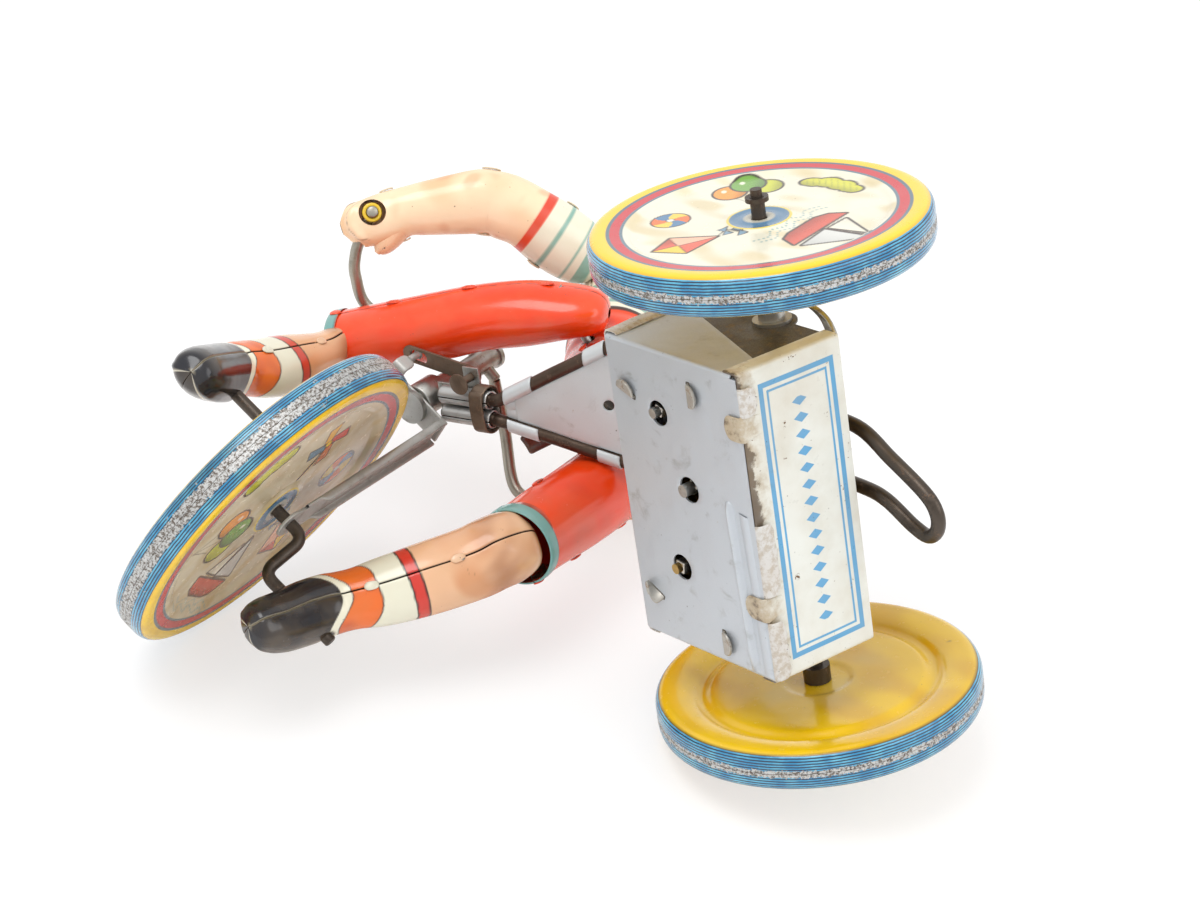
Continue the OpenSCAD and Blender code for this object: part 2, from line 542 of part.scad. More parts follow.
module pelvis_cut() for (q = [[0, 12, hip_z], [2.6, -12, hip_z + 1.9]]) translate(q) rotate([90, 0, 0])
  cylinder(r = pin_r + 0.9, h = 8, center = true);
module body_front() color("orangered") in_rider() difference() {
  half_shell(body_c, body_s, [0, 1, 0], 180);
  pelvis_cut();
}
module body_back() color("orangered") in_rider() difference() {
  half_shell(body_c, body_s, [0, 1, 0], 0);
  pelvis_cut();
}
module head_front() color("wheat") in_rider() half_shell(head_c, head_s, [0, 1, 0], 180);
module head_back() color("saddlebrown") in_rider() half_shell(head_c, head_s, [0, 1, 0], 0);
module saddle() color("#40181c") in_rider() difference() {
  union() {
    translate([0, 0, 94.2]) scale([1.5, 1, 0.26]) sphere(r = 10);
    translate([9, -2.4, 92.8]) cube([13, 4.8, 2.6]);
  }
  translate([0, 0, 80]) cylinder(r = 3 + press, h = 13.5);
  translate([-20, -20, 94.9]) cube([40, 40, 10]);
}
module saddle_post() color("dimgray") translate([rider_x, rider_y, 0]) {
  translate([0, 0, 84.6]) cylinder(r = 3, h = 8.9);
  translate([0, 0, 84.3]) cylinder(r = 4.6, h = 0.9);
}

// Legs
hip_l = rider_pt([0, hip_y, hip_z]);
// The right leg is pushed up and forward by the frame rod
hip_r = rider_pt([2.6, 0.7 - hip_y, hip_z + 1.9]);
pedal_l = fork_pt([crank_x, 28, crank_z]);
pedal_r = fork_pt([-crank_x, -28, -crank_z]);
thigh_dir_l = unit([62.1, -1.8, 3]);
thigh_dir_r = unit([22.3, 0.9, -54]);
shin_dir_l = unit([0.247, 0.212, -0.946]);
shin_dir_r = unit([0.85, -0.035, -0.526]);
across = unit(fork_pt([0, 1, 0]) - fork_pt([0, 0, 0])); // along the crank's pins
rider_side = rider_pt([0, 1, 0]) - rider_pt([0, 0, 0]);
thigh_t = [-9.6, -8.6, -5.6, 0, 10, 22, 36, 48, thigh_l - 3.5, thigh_l - 2.4, thigh_l];
thigh_s = [[1.2, 1.6], [3.6, 5], [5.1, 7.8], [5.6, 9.2], [5.3, 9.4], [5, 9.2], [5.4, 9.2], [6.4, 9.4],
  [6.7, 9.4], [7.2, 9.8], [7.1, 9.7]];
module thigh(h, d, turn) difference() {
  half_shell([for (t = thigh_t) h + t * d], thigh_s, rider_side, turn);
  bar(h - 12 * rider_side, h + 12 * rider_side, pin_r + run);
}
module thigh_left_upper() color("orangered") thigh(hip_l, thigh_dir_l, 0);
module thigh_left_lower() color("orangered") thigh(hip_l, thigh_dir_l, 180);
module thigh_right_upper() color("orangered") thigh(hip_r, thigh_dir_r, 0);
module thigh_right_lower() color("orangered") thigh(hip_r, thigh_dir_r, 180);
module hip_pin(h, s, out) {
  bar(h - s * 7.8 * rider_side, h + s * (out + 0.3) * rider_side, pin_r);
  bar(h + s * out * rider_side, h + s * (out + 0.9) * rider_side, 2.2);
}
module hip_pin_left() color("gray") hip_pin(hip_l, 1, 7.5);
module hip_pin_right() color("gray") hip_pin(hip_r, -1, 6.4);
// Places along a lower leg: share of the shin back from the foot, then along shin and foot
leg_a = [-58, -57.2, -55, -51, -46, -40, -28, -17, -10, -5, -1.6, 0, 0.6, 0.9, 1, 0.9];
leg_b = [0, 0, 0, 0, -0.4, -0.8, -1.6, -2.4, -3, -2.2, 0.6, 4.6, 9, 13.5, 17, 18.6];
leg_s = [[1.2, 1.1], [4.1, 2.8], [6.5, 4.2], [7.4, 4.8], [7.2, 5], [6.6, 5.2], [6.8, 5.3], [5.8, 4.8],
  [5, 4.4], [5, 4.6], [5.2, 5], [5, 5.4], [4.7, 5.7], [4.2, 5.4], [3, 4], [0.9, 1.2]];
module lower_leg(p, d, foot, turn) {
  back = cross(d, across);
  f = d * cos(foot) + unit(-back) * sin(foot);
  difference() {
    half_shell([for (i = [0 : len(leg_a) - 1]) p + leg_a[i] * d * (i < 4 ? shin_l / 51 : 1) + leg_b[i] * f],
      leg_s, unit(-back), turn);
    bar(p - 10 * across, p + 10 * across, wire_r + run);
  }
}
module lower_leg_left_outer() color("wheat") lower_leg(pedal_l, shin_dir_l, 60, 0);
module lower_leg_left_inner() color("wheat") lower_leg(pedal_l, shin_dir_l, 60, 180);
module lower_leg_right_outer() color("wheat") lower_leg(pedal_r, shin_dir_r, 36, 180);
module lower_leg_right_inner() color("wheat") lower_leg(pedal_r, shin_dir_r, 36, 0);

// Arms
shoulder_l = rider_pt([-4.1, shoulder_y, shoulder_z]);
shoulder_r = rider_pt([-4.1, -shoulder_y, shoulder_z]);
hand_l = bar_pt([-4, 46.1, bar_h - 2.2]);
hand_r = bar_pt([-4, -46.1, bar_h - 2.2]);
bend_l = hand_l + [-31.684, 2.347, 13.774];
bend_r = hand_r + [-22.875, -13.443, 22.738];
arm_s = [[1.2, 1.2], [4.6, 4.4], [6.8, 6.2], [7.4, 6.6], [7, 6.4], [6.2, 5.8], [5.6, 5.2], [4.6, 4.2],
  [3.9, 3.6], [4.8, 4.1], [6, 4.5], [5.6, 4.2], [3.6, 3], [1, 1]];
module arm(a, b, c, side, turn) {
  u = unit(b - a);
  v = unit(c - b);
  up = unit(b - (a + c) / 2);
  path = concat([a - 4.6 * u, a - 3.6 * u, a + 1 * u, a + 9 * u, a + 18 * u],
    curve([b - 4.5 * u, b - 0.4 * up, b + 4.5 * v], 1), [c - 16 * v, c - 10.5 * v, c - 6.6 * v,
    c - 1 * v, c + 4 * v, c + 7 * v, c + 8.4 * v]);
  difference() {
    half_shell([for (i = [0 : 13]) path[i]], arm_s, up, turn);
    in_bar() mirror([0, side < 0 ? 1 : 0, 0]) grip_room();
  }
}
// The room that a hand leaves for the wire and its ring, which the steering moves in it
module grip_room() {
  k = len(bar_line) - 1;
  d = unit(bar_line[k] - bar_line[k - 1]);
  wire(concat([for (i = [2 : k - 1]) bar_line[i]], [bar_line[k] + 4 * d]), bar_r + hand_play);
  bar(bar_line[k] - 1.9 * d, bar_line[k] + 4 * d, ring_r + hand_play);
}
module arm_left_upper() color("wheat") arm(shoulder_l, bend_l, hand_l, 1, 0);
module arm_left_lower() color("wheat") arm(shoulder_l, bend_l, hand_l, 1, 180);
module arm_right_upper() color("wheat") arm(shoulder_r, bend_r, hand_r, -1, 0);
module arm_right_lower() color("wheat") arm(shoulder_r, bend_r, hand_r, -1, 180);

motor_tray();
rear_plate();
side_plates();
movement_plate();
pillars();
clinch_lugs();
axle_bush_left();
axle_bush_right();
mainspring();
corner_hook();
backbone_plate();
frame_rod_left();
frame_rod_right();
head_sleeves();
head_strap();
head_collar();
stop_link();
saddle();
saddle_post();
body_front();
body_back();
head_front();
head_back();
rear_axle();
axle_collars();
axle_pinion();
rear_wheel_left_outer();
rear_wheel_left_inner();
rear_wheel_right_outer();
rear_wheel_right_inner();
winding_arbor();
winding_key();
great_wheel();
crown_wheel();
second_arbor();
governor_arbor();
governor_fan();
fork();
steering_stem();
handlebar();
hand_rings();
front_wheel_left();
front_wheel_right();
crank();
hip_pin_left();
hip_pin_right();
thigh_left_upper();
thigh_left_lower();
thigh_right_upper();
thigh_right_lower();
lower_leg_left_outer();
lower_leg_left_inner();
lower_leg_right_outer();
lower_leg_right_inner();
arm_left_upper();
arm_left_lower();
arm_right_upper();
arm_right_lower();
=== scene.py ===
import math

import bpy
import numpy as np
from mathutils import Matrix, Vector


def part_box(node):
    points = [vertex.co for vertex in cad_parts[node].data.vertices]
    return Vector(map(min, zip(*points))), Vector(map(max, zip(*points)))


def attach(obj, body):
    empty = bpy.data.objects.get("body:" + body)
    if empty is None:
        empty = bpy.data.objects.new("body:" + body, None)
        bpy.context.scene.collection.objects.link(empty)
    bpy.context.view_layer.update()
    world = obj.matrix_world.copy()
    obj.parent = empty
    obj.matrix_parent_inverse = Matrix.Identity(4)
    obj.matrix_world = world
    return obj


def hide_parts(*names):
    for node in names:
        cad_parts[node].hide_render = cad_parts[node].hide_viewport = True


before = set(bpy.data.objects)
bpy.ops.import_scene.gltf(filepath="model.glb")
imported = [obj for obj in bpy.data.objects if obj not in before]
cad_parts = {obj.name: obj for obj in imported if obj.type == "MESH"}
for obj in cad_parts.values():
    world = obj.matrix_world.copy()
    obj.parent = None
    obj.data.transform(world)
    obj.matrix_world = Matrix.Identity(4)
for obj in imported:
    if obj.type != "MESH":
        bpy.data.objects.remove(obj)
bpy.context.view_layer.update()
mm = 0.001
up = np.array([0.0, 0.0, 1.0])


def unit(v):
    v = np.asarray(v, float)
    return v / np.maximum(np.linalg.norm(v, axis=-1, keepdims=True), 1e-12)


def joined(*parts):
    # coordinates spread to one shape and put side by side on the last axis
    return np.stack(np.broadcast_arrays(*parts), -1)


def circle(count):
    return np.linspace(0, 2 * np.pi, count, endpoint=False)


def lengthAlong(q):
    # distance from the first point of a line to each of its points
    return np.concatenate([[0], np.cumsum(np.linalg.norm(np.diff(q, axis=0), axis=1))])


def turn(axis, degrees):
    # Rodrigues: R = I + sin(a) K + (1 - cos(a)) K K, with K the cross matrix of the axis
    a = unit(axis)
    k = np.array([[0, -a[2], a[1]], [a[2], 0, -a[0]], [-a[1], a[0], 0]])
    t = math.radians(degrees)
    return np.eye(3) + math.sin(t) * k + (1 - math.cos(t)) * (k @ k)


class Place:
    # own axes in the columns of r, own origin o, in millimetres; a call gives places of the toy
    def __init__(self, r, o):
        self.r, self.o = np.asarray(r, float), np.asarray(o, float)

    def __call__(self, p):
        return np.asarray(p, float) @ self.r.T + self.o

    def into(self, p):
        return (np.asarray(p, float) - self.o) @ self.r


# Sizes that several pieces share, the same as in the solids, in millimetres and degrees
toy = {
    "rearR": 38.0, "frontR": 43.2, "tread": 9.5, "track": 113.0, "wheelbase": 124.3,
    "rake": 27.3, "steer": -49.0, "barTurn": 8.5, "tilt": 43.2,
}
rider = {
    "turned": -24.0, "at": (51.4, -4, 0), "hipLeft": (0, 19, 109.8), "hipRight": (2.6, -18.3, 111.7),
    "shoulder": (-4.1, 25.5, 143), "neck": 160.3,
}
crank = {"r": 13.0, "angle": -22.0, "inner": 13.5, "pedal": 28.0, "outer": 36.0, "bend": 3.4, "wire": 1.5}
fork = {"inner": 8.0, "crown": 56.6, "sheet": 0.8, "ear": -6.2}
headPlace = Place(turn([0, 1, 0], -toy["rake"]), [toy["wheelbase"], 0, toy["frontR"]])
forkPlace = Place(headPlace.r @ turn(up, toy["steer"]), headPlace.o)
barPlace = Place(forkPlace.r @ turn(up, toy["barTurn"]), headPlace.o)
motorPlace = Place(turn([0, 1, 0], -toy["tilt"]), [0, 0, toy["rearR"]])
riderPlace = Place(turn(up, rider["turned"]), rider["at"])


# Surfaces
class Surface:
    # collects the numpy surfaces of one piece, in millimetres, with a colour and a map place per vertex
    def __init__(self):
        self.points, self.faces, self.paint, self.uv, self.count = [], [], [], [], 0

    def grid(self, p, loopU=False, loopV=False, paint=None, uv=None, flip=False, drop=None):
        p = np.asarray(p, float)
        n, m = p.shape[:2]
        i = np.arange(n if loopU else n - 1)[:, None]
        j = np.arange(m if loopV else m - 1)[None, :]
        i2, j2 = (i + 1) % n, (j + 1) % m
        f = joined(i * m + j, i2 * m + j, i2 * m + j2, i * m + j2).reshape(-1, 4)
        if flip:
            f = f[:, ::-1]
        if drop is not None:
            f = f[~np.asarray(drop).reshape(-1)[f].all(1)]
        self.points.append(p.reshape(-1, 3))
        self.faces.append(f + self.count)
        c = np.ones((n, m, 4)) if paint is None else np.asarray(paint, float)
        if c.shape[-1] == 3:
            c = np.concatenate([c, np.ones(c.shape[:-1] + (1,))], -1)
        self.paint.append(np.broadcast_to(c, (n, m, 4)).reshape(-1, 4))
        w = np.zeros((n, m, 2)) if uv is None else np.broadcast_to(uv, (n, m, 2))
        self.uv.append(w.reshape(-1, 2))
        self.count += n * m

    def build(self, name, body, finish, angle, slotName, replaces=()):
        v = np.concatenate(self.points) * mm
        f = np.concatenate(self.faces).astype(np.int32)
        place = np.concatenate(self.uv)[f.ravel()]
        used, f = np.unique(f, return_inverse=True)
        f, v = f.reshape(-1, 4).astype(np.int32), v[used]
        mesh = bpy.data.meshes.new(name)
        mesh.vertices.add(len(v))
        mesh.vertices.foreach_set("co", v.ravel())
        mesh.loops.add(f.size)
        mesh.loops.foreach_set("vertex_index", f.ravel())
        mesh.polygons.add(len(f))
        mesh.polygons.foreach_set("loop_start", np.arange(len(f), dtype=np.int32) * 4)
        mesh.update(calc_edges=True)
        a = mesh.color_attributes.new("paint", "FLOAT_COLOR", "POINT")
        a.data.foreach_set("color", np.concatenate(self.paint)[used].ravel())
        w = mesh.uv_layers.new(name="map")
        w.data.foreach_set("uv", place.ravel())
        mesh.validate()
        mesh.materials.append(finish)
        mesh.shade_smooth()
        mesh.set_sharp_from_angle(angle=math.radians(angle))
        piece = bpy.data.objects.new(name, mesh)
        bpy.context.scene.collection.objects.link(piece)
        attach(piece, body)
        if replaces:
            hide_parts(*replaces)


def normals(p):
    # surface normal: cross product of the central differences along the two grid ways
    return unit(np.cross(np.gradient(p, axis=0), np.gradient(p, axis=1)) + 1e-12)


def smoothLine(pts, count, loop=False):
    # Catmull-Rom: p(t) = (2b + (c-a)t + (2a-5b+4c-d)t^2 + (3b-a-3c+d)t^3) / 2,
    # sampled evenly along its length
    p = np.asarray(pts, float)
    k = len(p)
    t = np.linspace(0, k if loop else k - 1, 40 * k + 1)
    i = np.minimum(t.astype(int), k - 1 if loop else k - 2)
    f = (t - i)[:, None]
    pick = (lambda j: p[j % k]) if loop else (lambda j: p[np.clip(j, 0, k - 1)])
    a, b, c, d = pick(i - 1), pick(i), pick(i + 1), pick(i + 2)
    q = 2 * b + (c - a) * f + (2 * a - 5 * b + 4 * c - d) * f ** 2 + (3 * b - a - 3 * c + d) * f ** 3
    q = q / 2
    s = lengthAlong(q[:, :3])
    w = np.linspace(0, s[-1], count + 1 if loop else count)
    out = np.stack([np.interp(w, s, q[:, j]) for j in range(q.shape[1])], -1)
    return out[:-1] if loop else out


def carried(line, first=None, loop=False):
    # parallel carried normals along a line, so that a tube doesn't twist
    t = unit(np.roll(line, -1, 0) - np.roll(line, 1, 0)) if loop else unit(np.gradient(line, axis=0))
    u = np.zeros_like(line)
    w = np.array([0.0, 0, 1]) if first is None else np.asarray(first, float)
    for i in range(len(line)):
        w = w - (w @ t[i]) * t[i]
        w = w / np.linalg.norm(w)
        u[i] = w
    return t, u, np.cross(t, u)


def tube(surface, line, radius, sides=20, loop=False, first=None, bevel=0.25, paint=None):
    # circle carried along a line: p = line + r (cos a u + sin a v); each open end gets four smaller rings
    line = np.asarray(line, float)
    r = np.broadcast_to(radius, len(line)).astype(float)
    t, u, v = carried(line, first, loop)
    if not loop:
        for end, s in ((0, -1), (-1, 1)):
            b = min(bevel, r[end] * 0.9)
            rings = ((0.3, 0.92), (0.75, 0.55), (1, 0.15), (1, 0))
            if b >= r[end] * 0.5:
                rings = ((0.4, 0.92), (0.8, 0.6), (1, 0.25), (1, 0))
            back = [line[end] + s * t[end] * b * out for out, wide in rings]
            rim = [max(r[end] - b, 0) + b * wide if wide > 0 else 0.01 for out, wide in rings]
            if end == 0:
                line, r = np.vstack([back[::-1], line]), np.concatenate([rim[::-1], r])
                t, u, v = [np.vstack([np.repeat(x[:1], 4, 0), x]) for x in (t, u, v)]
            else:
                line, r = np.vstack([line, back]), np.concatenate([r, rim])
                t, u, v = [np.vstack([x, np.repeat(x[-1:], 4, 0)]) for x in (t, u, v)]
    a = circle(sides)[None, :, None]
    p = line[:, None] + r[:, None, None] * (np.cos(a) * u[:, None] + np.sin(a) * v[:, None])
    surface.grid(p, loopU=loop, loopV=True, paint=paint)


def lathe(profile, sides=128):
    # profile of radius and height, turned round the third axis: (r cos a, r sin a, h)
    r, h = np.asarray(profile, float).T
    a = circle(sides)[:, None]
    return joined(r * np.cos(a), r * np.sin(a), h)


# Shader trees
class Net:
    # builds one node tree; every call but node and put returns an output socket
    def __init__(self, tree):
        self.tree = tree

    def node(self, kind, inputs=None, **props):
        n = self.tree.nodes.new("ShaderNode" + kind)
        for k, v in props.items():
            setattr(n, k, v)
        for k, v in (inputs or {}).items():
            self.put(n.inputs[k], v)
        return n

    def put(self, socket, value):
        if isinstance(value, bpy.types.NodeSocket):
            self.tree.links.new(value, socket)
        elif socket.type == "RGBA" and len(value) == 3:
            socket.default_value = (*value, 1)
        else:
            socket.default_value = value

    def math(self, op, a, b=0.0, clamp=False):
        return self.node("Math", {0: a, 1: b}, operation=op, use_clamp=clamp).outputs[0]

    def times(self, a, b, clamp=False):
        return self.math("MULTIPLY", a, b, clamp)

    def plus(self, a, b, clamp=False):
        return self.math("ADD", a, b, clamp)

    def minus(self, a, b, clamp=False):
        return self.math("SUBTRACT", a, b, clamp)

    def mix(self, f, a, b, blend="MIX"):
        return self.node("Mix", {0: f, 6: a, 7: b}, data_type="RGBA", blend_type=blend).outputs[2]

    def blend(self, f, a, b):
        return self.node("Mix", {0: f, 2: a, 3: b}, data_type="FLOAT").outputs[0]

    def noise(self, vector, scale, detail=3.0, rough=0.55, distortion=0.0):
        sizes = {"Scale": scale, "Detail": detail, "Roughness": rough, "Distortion": distortion}
        return self.node("TexNoise", {"Vector": vector, **sizes}).outputs["Fac"]

    def step(self, x, low, high, to=(0.0, 1.0)):
        return self.node("MapRange", {0: x, 1: low, 2: high, 3: to[0], 4: to[1]},
                         interpolation_type="SMOOTHSTEP").outputs[0]

    def fall(self, x, low, high):
        return self.step(x, low, high, (1.0, 0.0))

    def place(self):
        # object coordinates in millimetres
        v = self.node("TexCoord").outputs["Object"]
        return self.node("VectorMath", {0: v, "Scale": 1 / mm}, operation="SCALE").outputs[0]

    def stretch(self, vector, factors):
        return self.node("VectorMath", {0: vector, 1: factors}, operation="MULTIPLY").outputs[0]

    def bump(self, height, strength):
        return self.node("Bump", {"Height": height, "Strength": strength, "Distance": 0.8 * mm}).outputs[0]

    def paint(self):
        return self.node("Attribute", attribute_name="paint").outputs["Color"]

    def use(self, group, **inputs):
        n = self.tree.nodes.new("ShaderNodeGroup")
        n.node_tree = group
        for k, v in inputs.items():
            self.put(n.inputs[k], v)
        return n.outputs[0]


def group(name, inputs, output):
    # a shared node group with one number as its output: the group, its net, its inputs and its output
    g = bpy.data.node_groups.new(name, "ShaderNodeTree")
    for n, k, v in inputs:
        s = g.interface.new_socket(n, in_out="INPUT", socket_type=k)
        if v is not None:
            s.default_value = v
    g.interface.new_socket(output, in_out="OUTPUT", socket_type="NodeSocketFloat")
    net = Net(g)
    start, end = g.nodes.new("NodeGroupInput"), g.nodes.new("NodeGroupOutput")
    return g, net, {s.name: s for s in start.outputs}, end.inputs[0]


def makeWear():
    # mask of worn patches: coarse noise broken up by fine noise, above a limit set by the amount
    g, net, i, out = group("wear", [("Place", "NodeSocketVector", None), ("Size", "NodeSocketFloat", 4.0),
                                    ("Amount", "NodeSocketFloat", 0.3)], "Mask")
    a = net.noise(i["Place"], net.math("DIVIDE", 1.0, i["Size"]), 5, 0.62, 0.3)
    b = net.noise(i["Place"], net.math("DIVIDE", 6.0, i["Size"]), 3, 0.6)
    s = net.plus(net.times(a, 0.68), net.times(b, 0.32))
    low = net.minus(0.74, net.times(i["Amount"], 0.5))
    net.put(out, net.step(s, low, net.plus(low, 0.035)))
    return g


def makeGrain():
    # fine unevenness of pressed sheet: shallow dents and a small orange peel
    g, net, i, out = group("grain", [("Place", "NodeSocketVector", None), ("Peel", "NodeSocketFloat", 0.3),
                                     ("Dents", "NodeSocketFloat", 0.5)], "Height")
    dents = net.noise(i["Place"], 0.11, 2, 0.5)
    peel = net.noise(i["Place"], 2.6, 2, 0.5)
    net.put(out, net.plus(net.times(dents, i["Dents"]), net.times(peel, net.times(i["Peel"], 0.06))))
    return g


def makeSpecks():
    # mask of small dark specks and short scratches
    sockets = [("Place", "NodeSocketVector", None), ("Density", "NodeSocketFloat", 0.4)]
    g, net, i, out = group("specks", sockets, "Mask")
    v = net.node("TexVoronoi", {"Vector": i["Place"], "Scale": 0.75, "Randomness": 1.0}, feature="F1")
    size = net.times(net.noise(i["Place"], 0.5, 2), 0.34)
    dots = net.fall(v.outputs["Distance"], net.times(size, 0.35), size)
    cloud = net.noise(i["Place"], 0.33, 2, 0.6)
    some = net.step(cloud, net.minus(0.72, net.times(i["Density"], 0.3)), 0.75)
    net.put(out, net.times(dots, some, clamp=True))
    return g


wearGroup, grainGroup, speckGroup = makeWear(), makeGrain(), makeSpecks()


def material(name):
    m = bpy.data.materials.new(name)
    m.use_nodes = True
    m.node_tree.nodes.clear()
    net = Net(m.node_tree)
    shader = net.node("BsdfPrincipled")
    end = m.node_tree.nodes.new("ShaderNodeOutputMaterial")
    m.node_tree.links.new(shader.outputs[0], end.inputs[0])
    return m, net, shader


def finishShader(net, shader, **inputs):
    for k, v in inputs.items():
        net.put(shader.inputs[k.replace("_", " ")], v)


rust = (0.13, 0.062, 0.03)
soil = (0.052, 0.04, 0.03)


def lacquer(name, colour, rough=0.26, wear=0.2, size=5.0, specks=0.4, dents=0.5, coat=0.35, under=None):
    # printed and lacquered tinplate; colour is a colour, or a function of the net that gives one
    m, net, shader = material(name)
    v = net.place()
    base = colour(net, v) if callable(colour) else colour
    worn = net.use(wearGroup, Place=v, Size=size, Amount=wear)
    tone = net.noise(v, 0.06, 3, 0.6)
    toned = net.mix(net.step(tone, 0.35, 0.75), base, net.mix(0.16, base, (0.42, 0.28, 0.13)))
    chipped = net.mix(worn, toned, under or net.mix(net.step(net.noise(v, 1.3, 3), 0.4, 0.6), rust,
                                                    (0.33, 0.3, 0.26)))
    dark = net.use(speckGroup, Place=v, Density=specks)
    c = net.mix(net.times(dark, 0.85), chipped, soil)
    height = net.use(grainGroup, Place=v, Peel=0.5, Dents=dents)
    height = net.minus(height, net.times(worn, 0.1))
    glossy = net.step(net.noise(v, 0.5, 4, 0.6), 0.2, 0.9, (rough * 0.75, rough * 1.5))
    roughness = net.blend(worn, glossy, 0.6)
    finishShader(net, shader, Base_Color=c, Roughness=roughness, Metallic=net.times(worn, 0.35),
                 Coat_Weight=net.times(net.minus(1.0, worn), coat), Coat_Roughness=0.12,
                 Normal=net.bump(height, 0.55))
    return m


def metal(name, colour, rough=0.38, stain=0.35, brushed=(1, 1, 1), tint=(0.2, 0.15, 0.1), dents=0.4,
          metallic=1.0, specks=0.5):
    # bare or browned metal with stains; brushed stretches the fine scratches
    m, net, shader = material(name)
    v = net.place()
    base = colour(net, v) if callable(colour) else colour
    cloud = net.noise(v, 0.16, 5, 0.62, 0.4)
    dull = net.step(cloud, 0.62 - stain * 0.35, 0.78, (0.0, 0.8))
    c = net.mix(dull, base, net.mix(0.6, base, tint, "MULTIPLY"))
    spots = net.use(wearGroup, Place=v, Size=2.6, Amount=stain * 0.75)
    c = net.mix(net.times(spots, 0.75), c, tint)
    c = net.mix(net.times(net.use(speckGroup, Place=v, Density=specks), 0.8), c, soil)
    lines = net.noise(net.stretch(v, brushed), 3.0, 4, 0.7)
    roughness = net.plus(net.step(lines, 0.25, 0.8, (rough * 0.7, rough * 1.35)), net.times(spots, 0.25),
                         clamp=True)
    height = net.plus(net.use(grainGroup, Place=v, Peel=0.3, Dents=dents), net.times(lines, 0.012))
    finishShader(net, shader, Base_Color=c, Roughness=roughness,
                 Metallic=net.minus(metallic, net.times(spots, 0.6), clamp=True),
                 Normal=net.bump(height, 0.6))
    return m


def linear(*c):
    # light of a screen colour from 0 to 255: ((s + 0.055) / 1.055) ^ 2.4
    s = np.asarray(c, float) / 255
    return np.where(s <= 0.04045, s / 12.92, ((s + 0.055) / 1.055) ** 2.4)


ink = {
    "cream": linear(229, 226, 205), "black": linear(22, 20, 21), "orange": linear(226, 104, 28),
    "red": linear(202, 48, 34), "short": linear(242, 62, 4), "teal": linear(112, 170, 168),
    "flesh": linear(232, 190, 154), "blush": linear(208, 140, 92), "yellow": linear(240, 198, 30),
    "ring": linear(196, 44, 54), "slate": linear(96, 118, 132), "navy": linear(28, 40, 66),
    "brown": linear(92, 58, 36), "hair": linear(92, 54, 28), "line": linear(48, 34, 30),
    "frame": linear(52, 146, 196), "shirtTeal": linear(132, 172, 158), "shirtRed": linear(214, 70, 46),
}


def over(base, mask, colour):
    # base + (colour - base) * mask
    return base + (np.asarray(colour) - base) * np.clip(mask, 0, 1)[..., None]


def inside(d, soft=0.22):
    # 1 where the signed distance d is negative, 0 outside, over a soft edge
    return np.clip(0.5 - d / soft, 0, 1)


def fill(c, d, colour):
    return over(c, inside(d), colour)


def ramp(x, low, high):
    # 0 below low, 1 above high, t * t * (3 - 2 t) between them
    t = np.clip((x - low) / (high - low), 0, 1)
    return t * t * (3 - 2 * t)


def bell(x, middle, width):
    return np.exp(-((x - middle) / width) ** 2)


def roundEnd(x, power):
    # width towards a round end: root of 1 - x ^ power, x from 0 before the end to 1 at it
    return np.sqrt(np.clip(1 - np.clip(x, 0, 1) ** power, 0.02, 1))


def speckle(p, size, seed):
    # smooth noise of places: sums of sines whose directions come from a fixed seed
    r = np.random.default_rng(seed)
    out = np.zeros(p.shape[:-1])
    for k in range(9):
        w = unit(r.normal(size=3)) * (6.28 / size) * (0.6 + 0.16 * k)
        out += np.sin(p @ w + r.uniform(0, 6.28)) / 3
    return out


# Sheets and pressed halves
def thick(surface, p, t, close=(True, True), paint=None):
    # a sheet of thickness t on both sides of its middle surface, its rims rounded by half circles
    p = np.asarray(p, float)
    n, h = normals(p), t / 2
    du, dv = unit(np.gradient(p, axis=0)), unit(np.gradient(p, axis=1))
    rows = [(p[i], n[i], -dv[i, 0], dv[i, -1], 1.0) for i in range(len(p))]

    def rounded(i, s):
        return [(p[i] + s * h * math.sin(b) * du[i], n[i], -dv[i, 0], dv[i, -1], max(math.cos(b), 0.001))
                for b in np.radians([35, 65, 90])]
    if close[0]:
        rows = rounded(0, -1)[::-1] + rows
    if close[1]:
        rows += rounded(-1, 1)
    a = np.radians([36, 72, 108, 144])[:, None]
    out = []
    for mid, nn, e0, e1, c in rows:
        k = h * c
        out.append(np.vstack([mid + k * nn, mid[-1] + k * (np.cos(a) * nn[-1] + np.sin(a) * e1),
                              (mid - k * nn)[::-1], mid[0] + k * (-np.cos(a) * nn[0] + np.sin(a) * e0)]))
    surface.grid(np.array(out), loopV=True, paint=paint)


def ringPlate(surface, inner, outer, z0, z1, place, steps=4, rim=True):
    # a flat sheet between a hole and an outline, each a list of points at the same angles
    inner, outer = np.asarray(inner, float), np.asarray(outer, float)
    b = 0.12
    c = b * 0.3
    s = np.linspace(0, 1, steps)[:, None, None]
    way = unit(outer - inner)
    top = inner + way * b + s[::-1] * (outer - inner - way * b * 2)
    rows = [(q, z1) for q in top]
    rows += [(inner + way * c, z1 - c), (inner, z1 - b), (inner, z0 + b), (inner + way * c, z0 + c)]
    rows += [(q, z0) for q in top[::-1]]
    if rim:
        rows += [(outer - way * c, z0 + c), (outer, z0 + b), (outer, z1 - b), (outer - way * c, z1 - c)]
    else:
        rows[0] = (outer, z1)
        rows[-1] = (outer, z0)
    p = np.array([np.column_stack([q, np.full(len(q), z)]) for q, z in rows])
    surface.grid(place(p), loopU=rim, loopV=True, flip=True)


def circlePoints(c, r, angles):
    return np.stack([c[0] + r * np.cos(angles), c[1] + r * np.sin(angles)], -1)


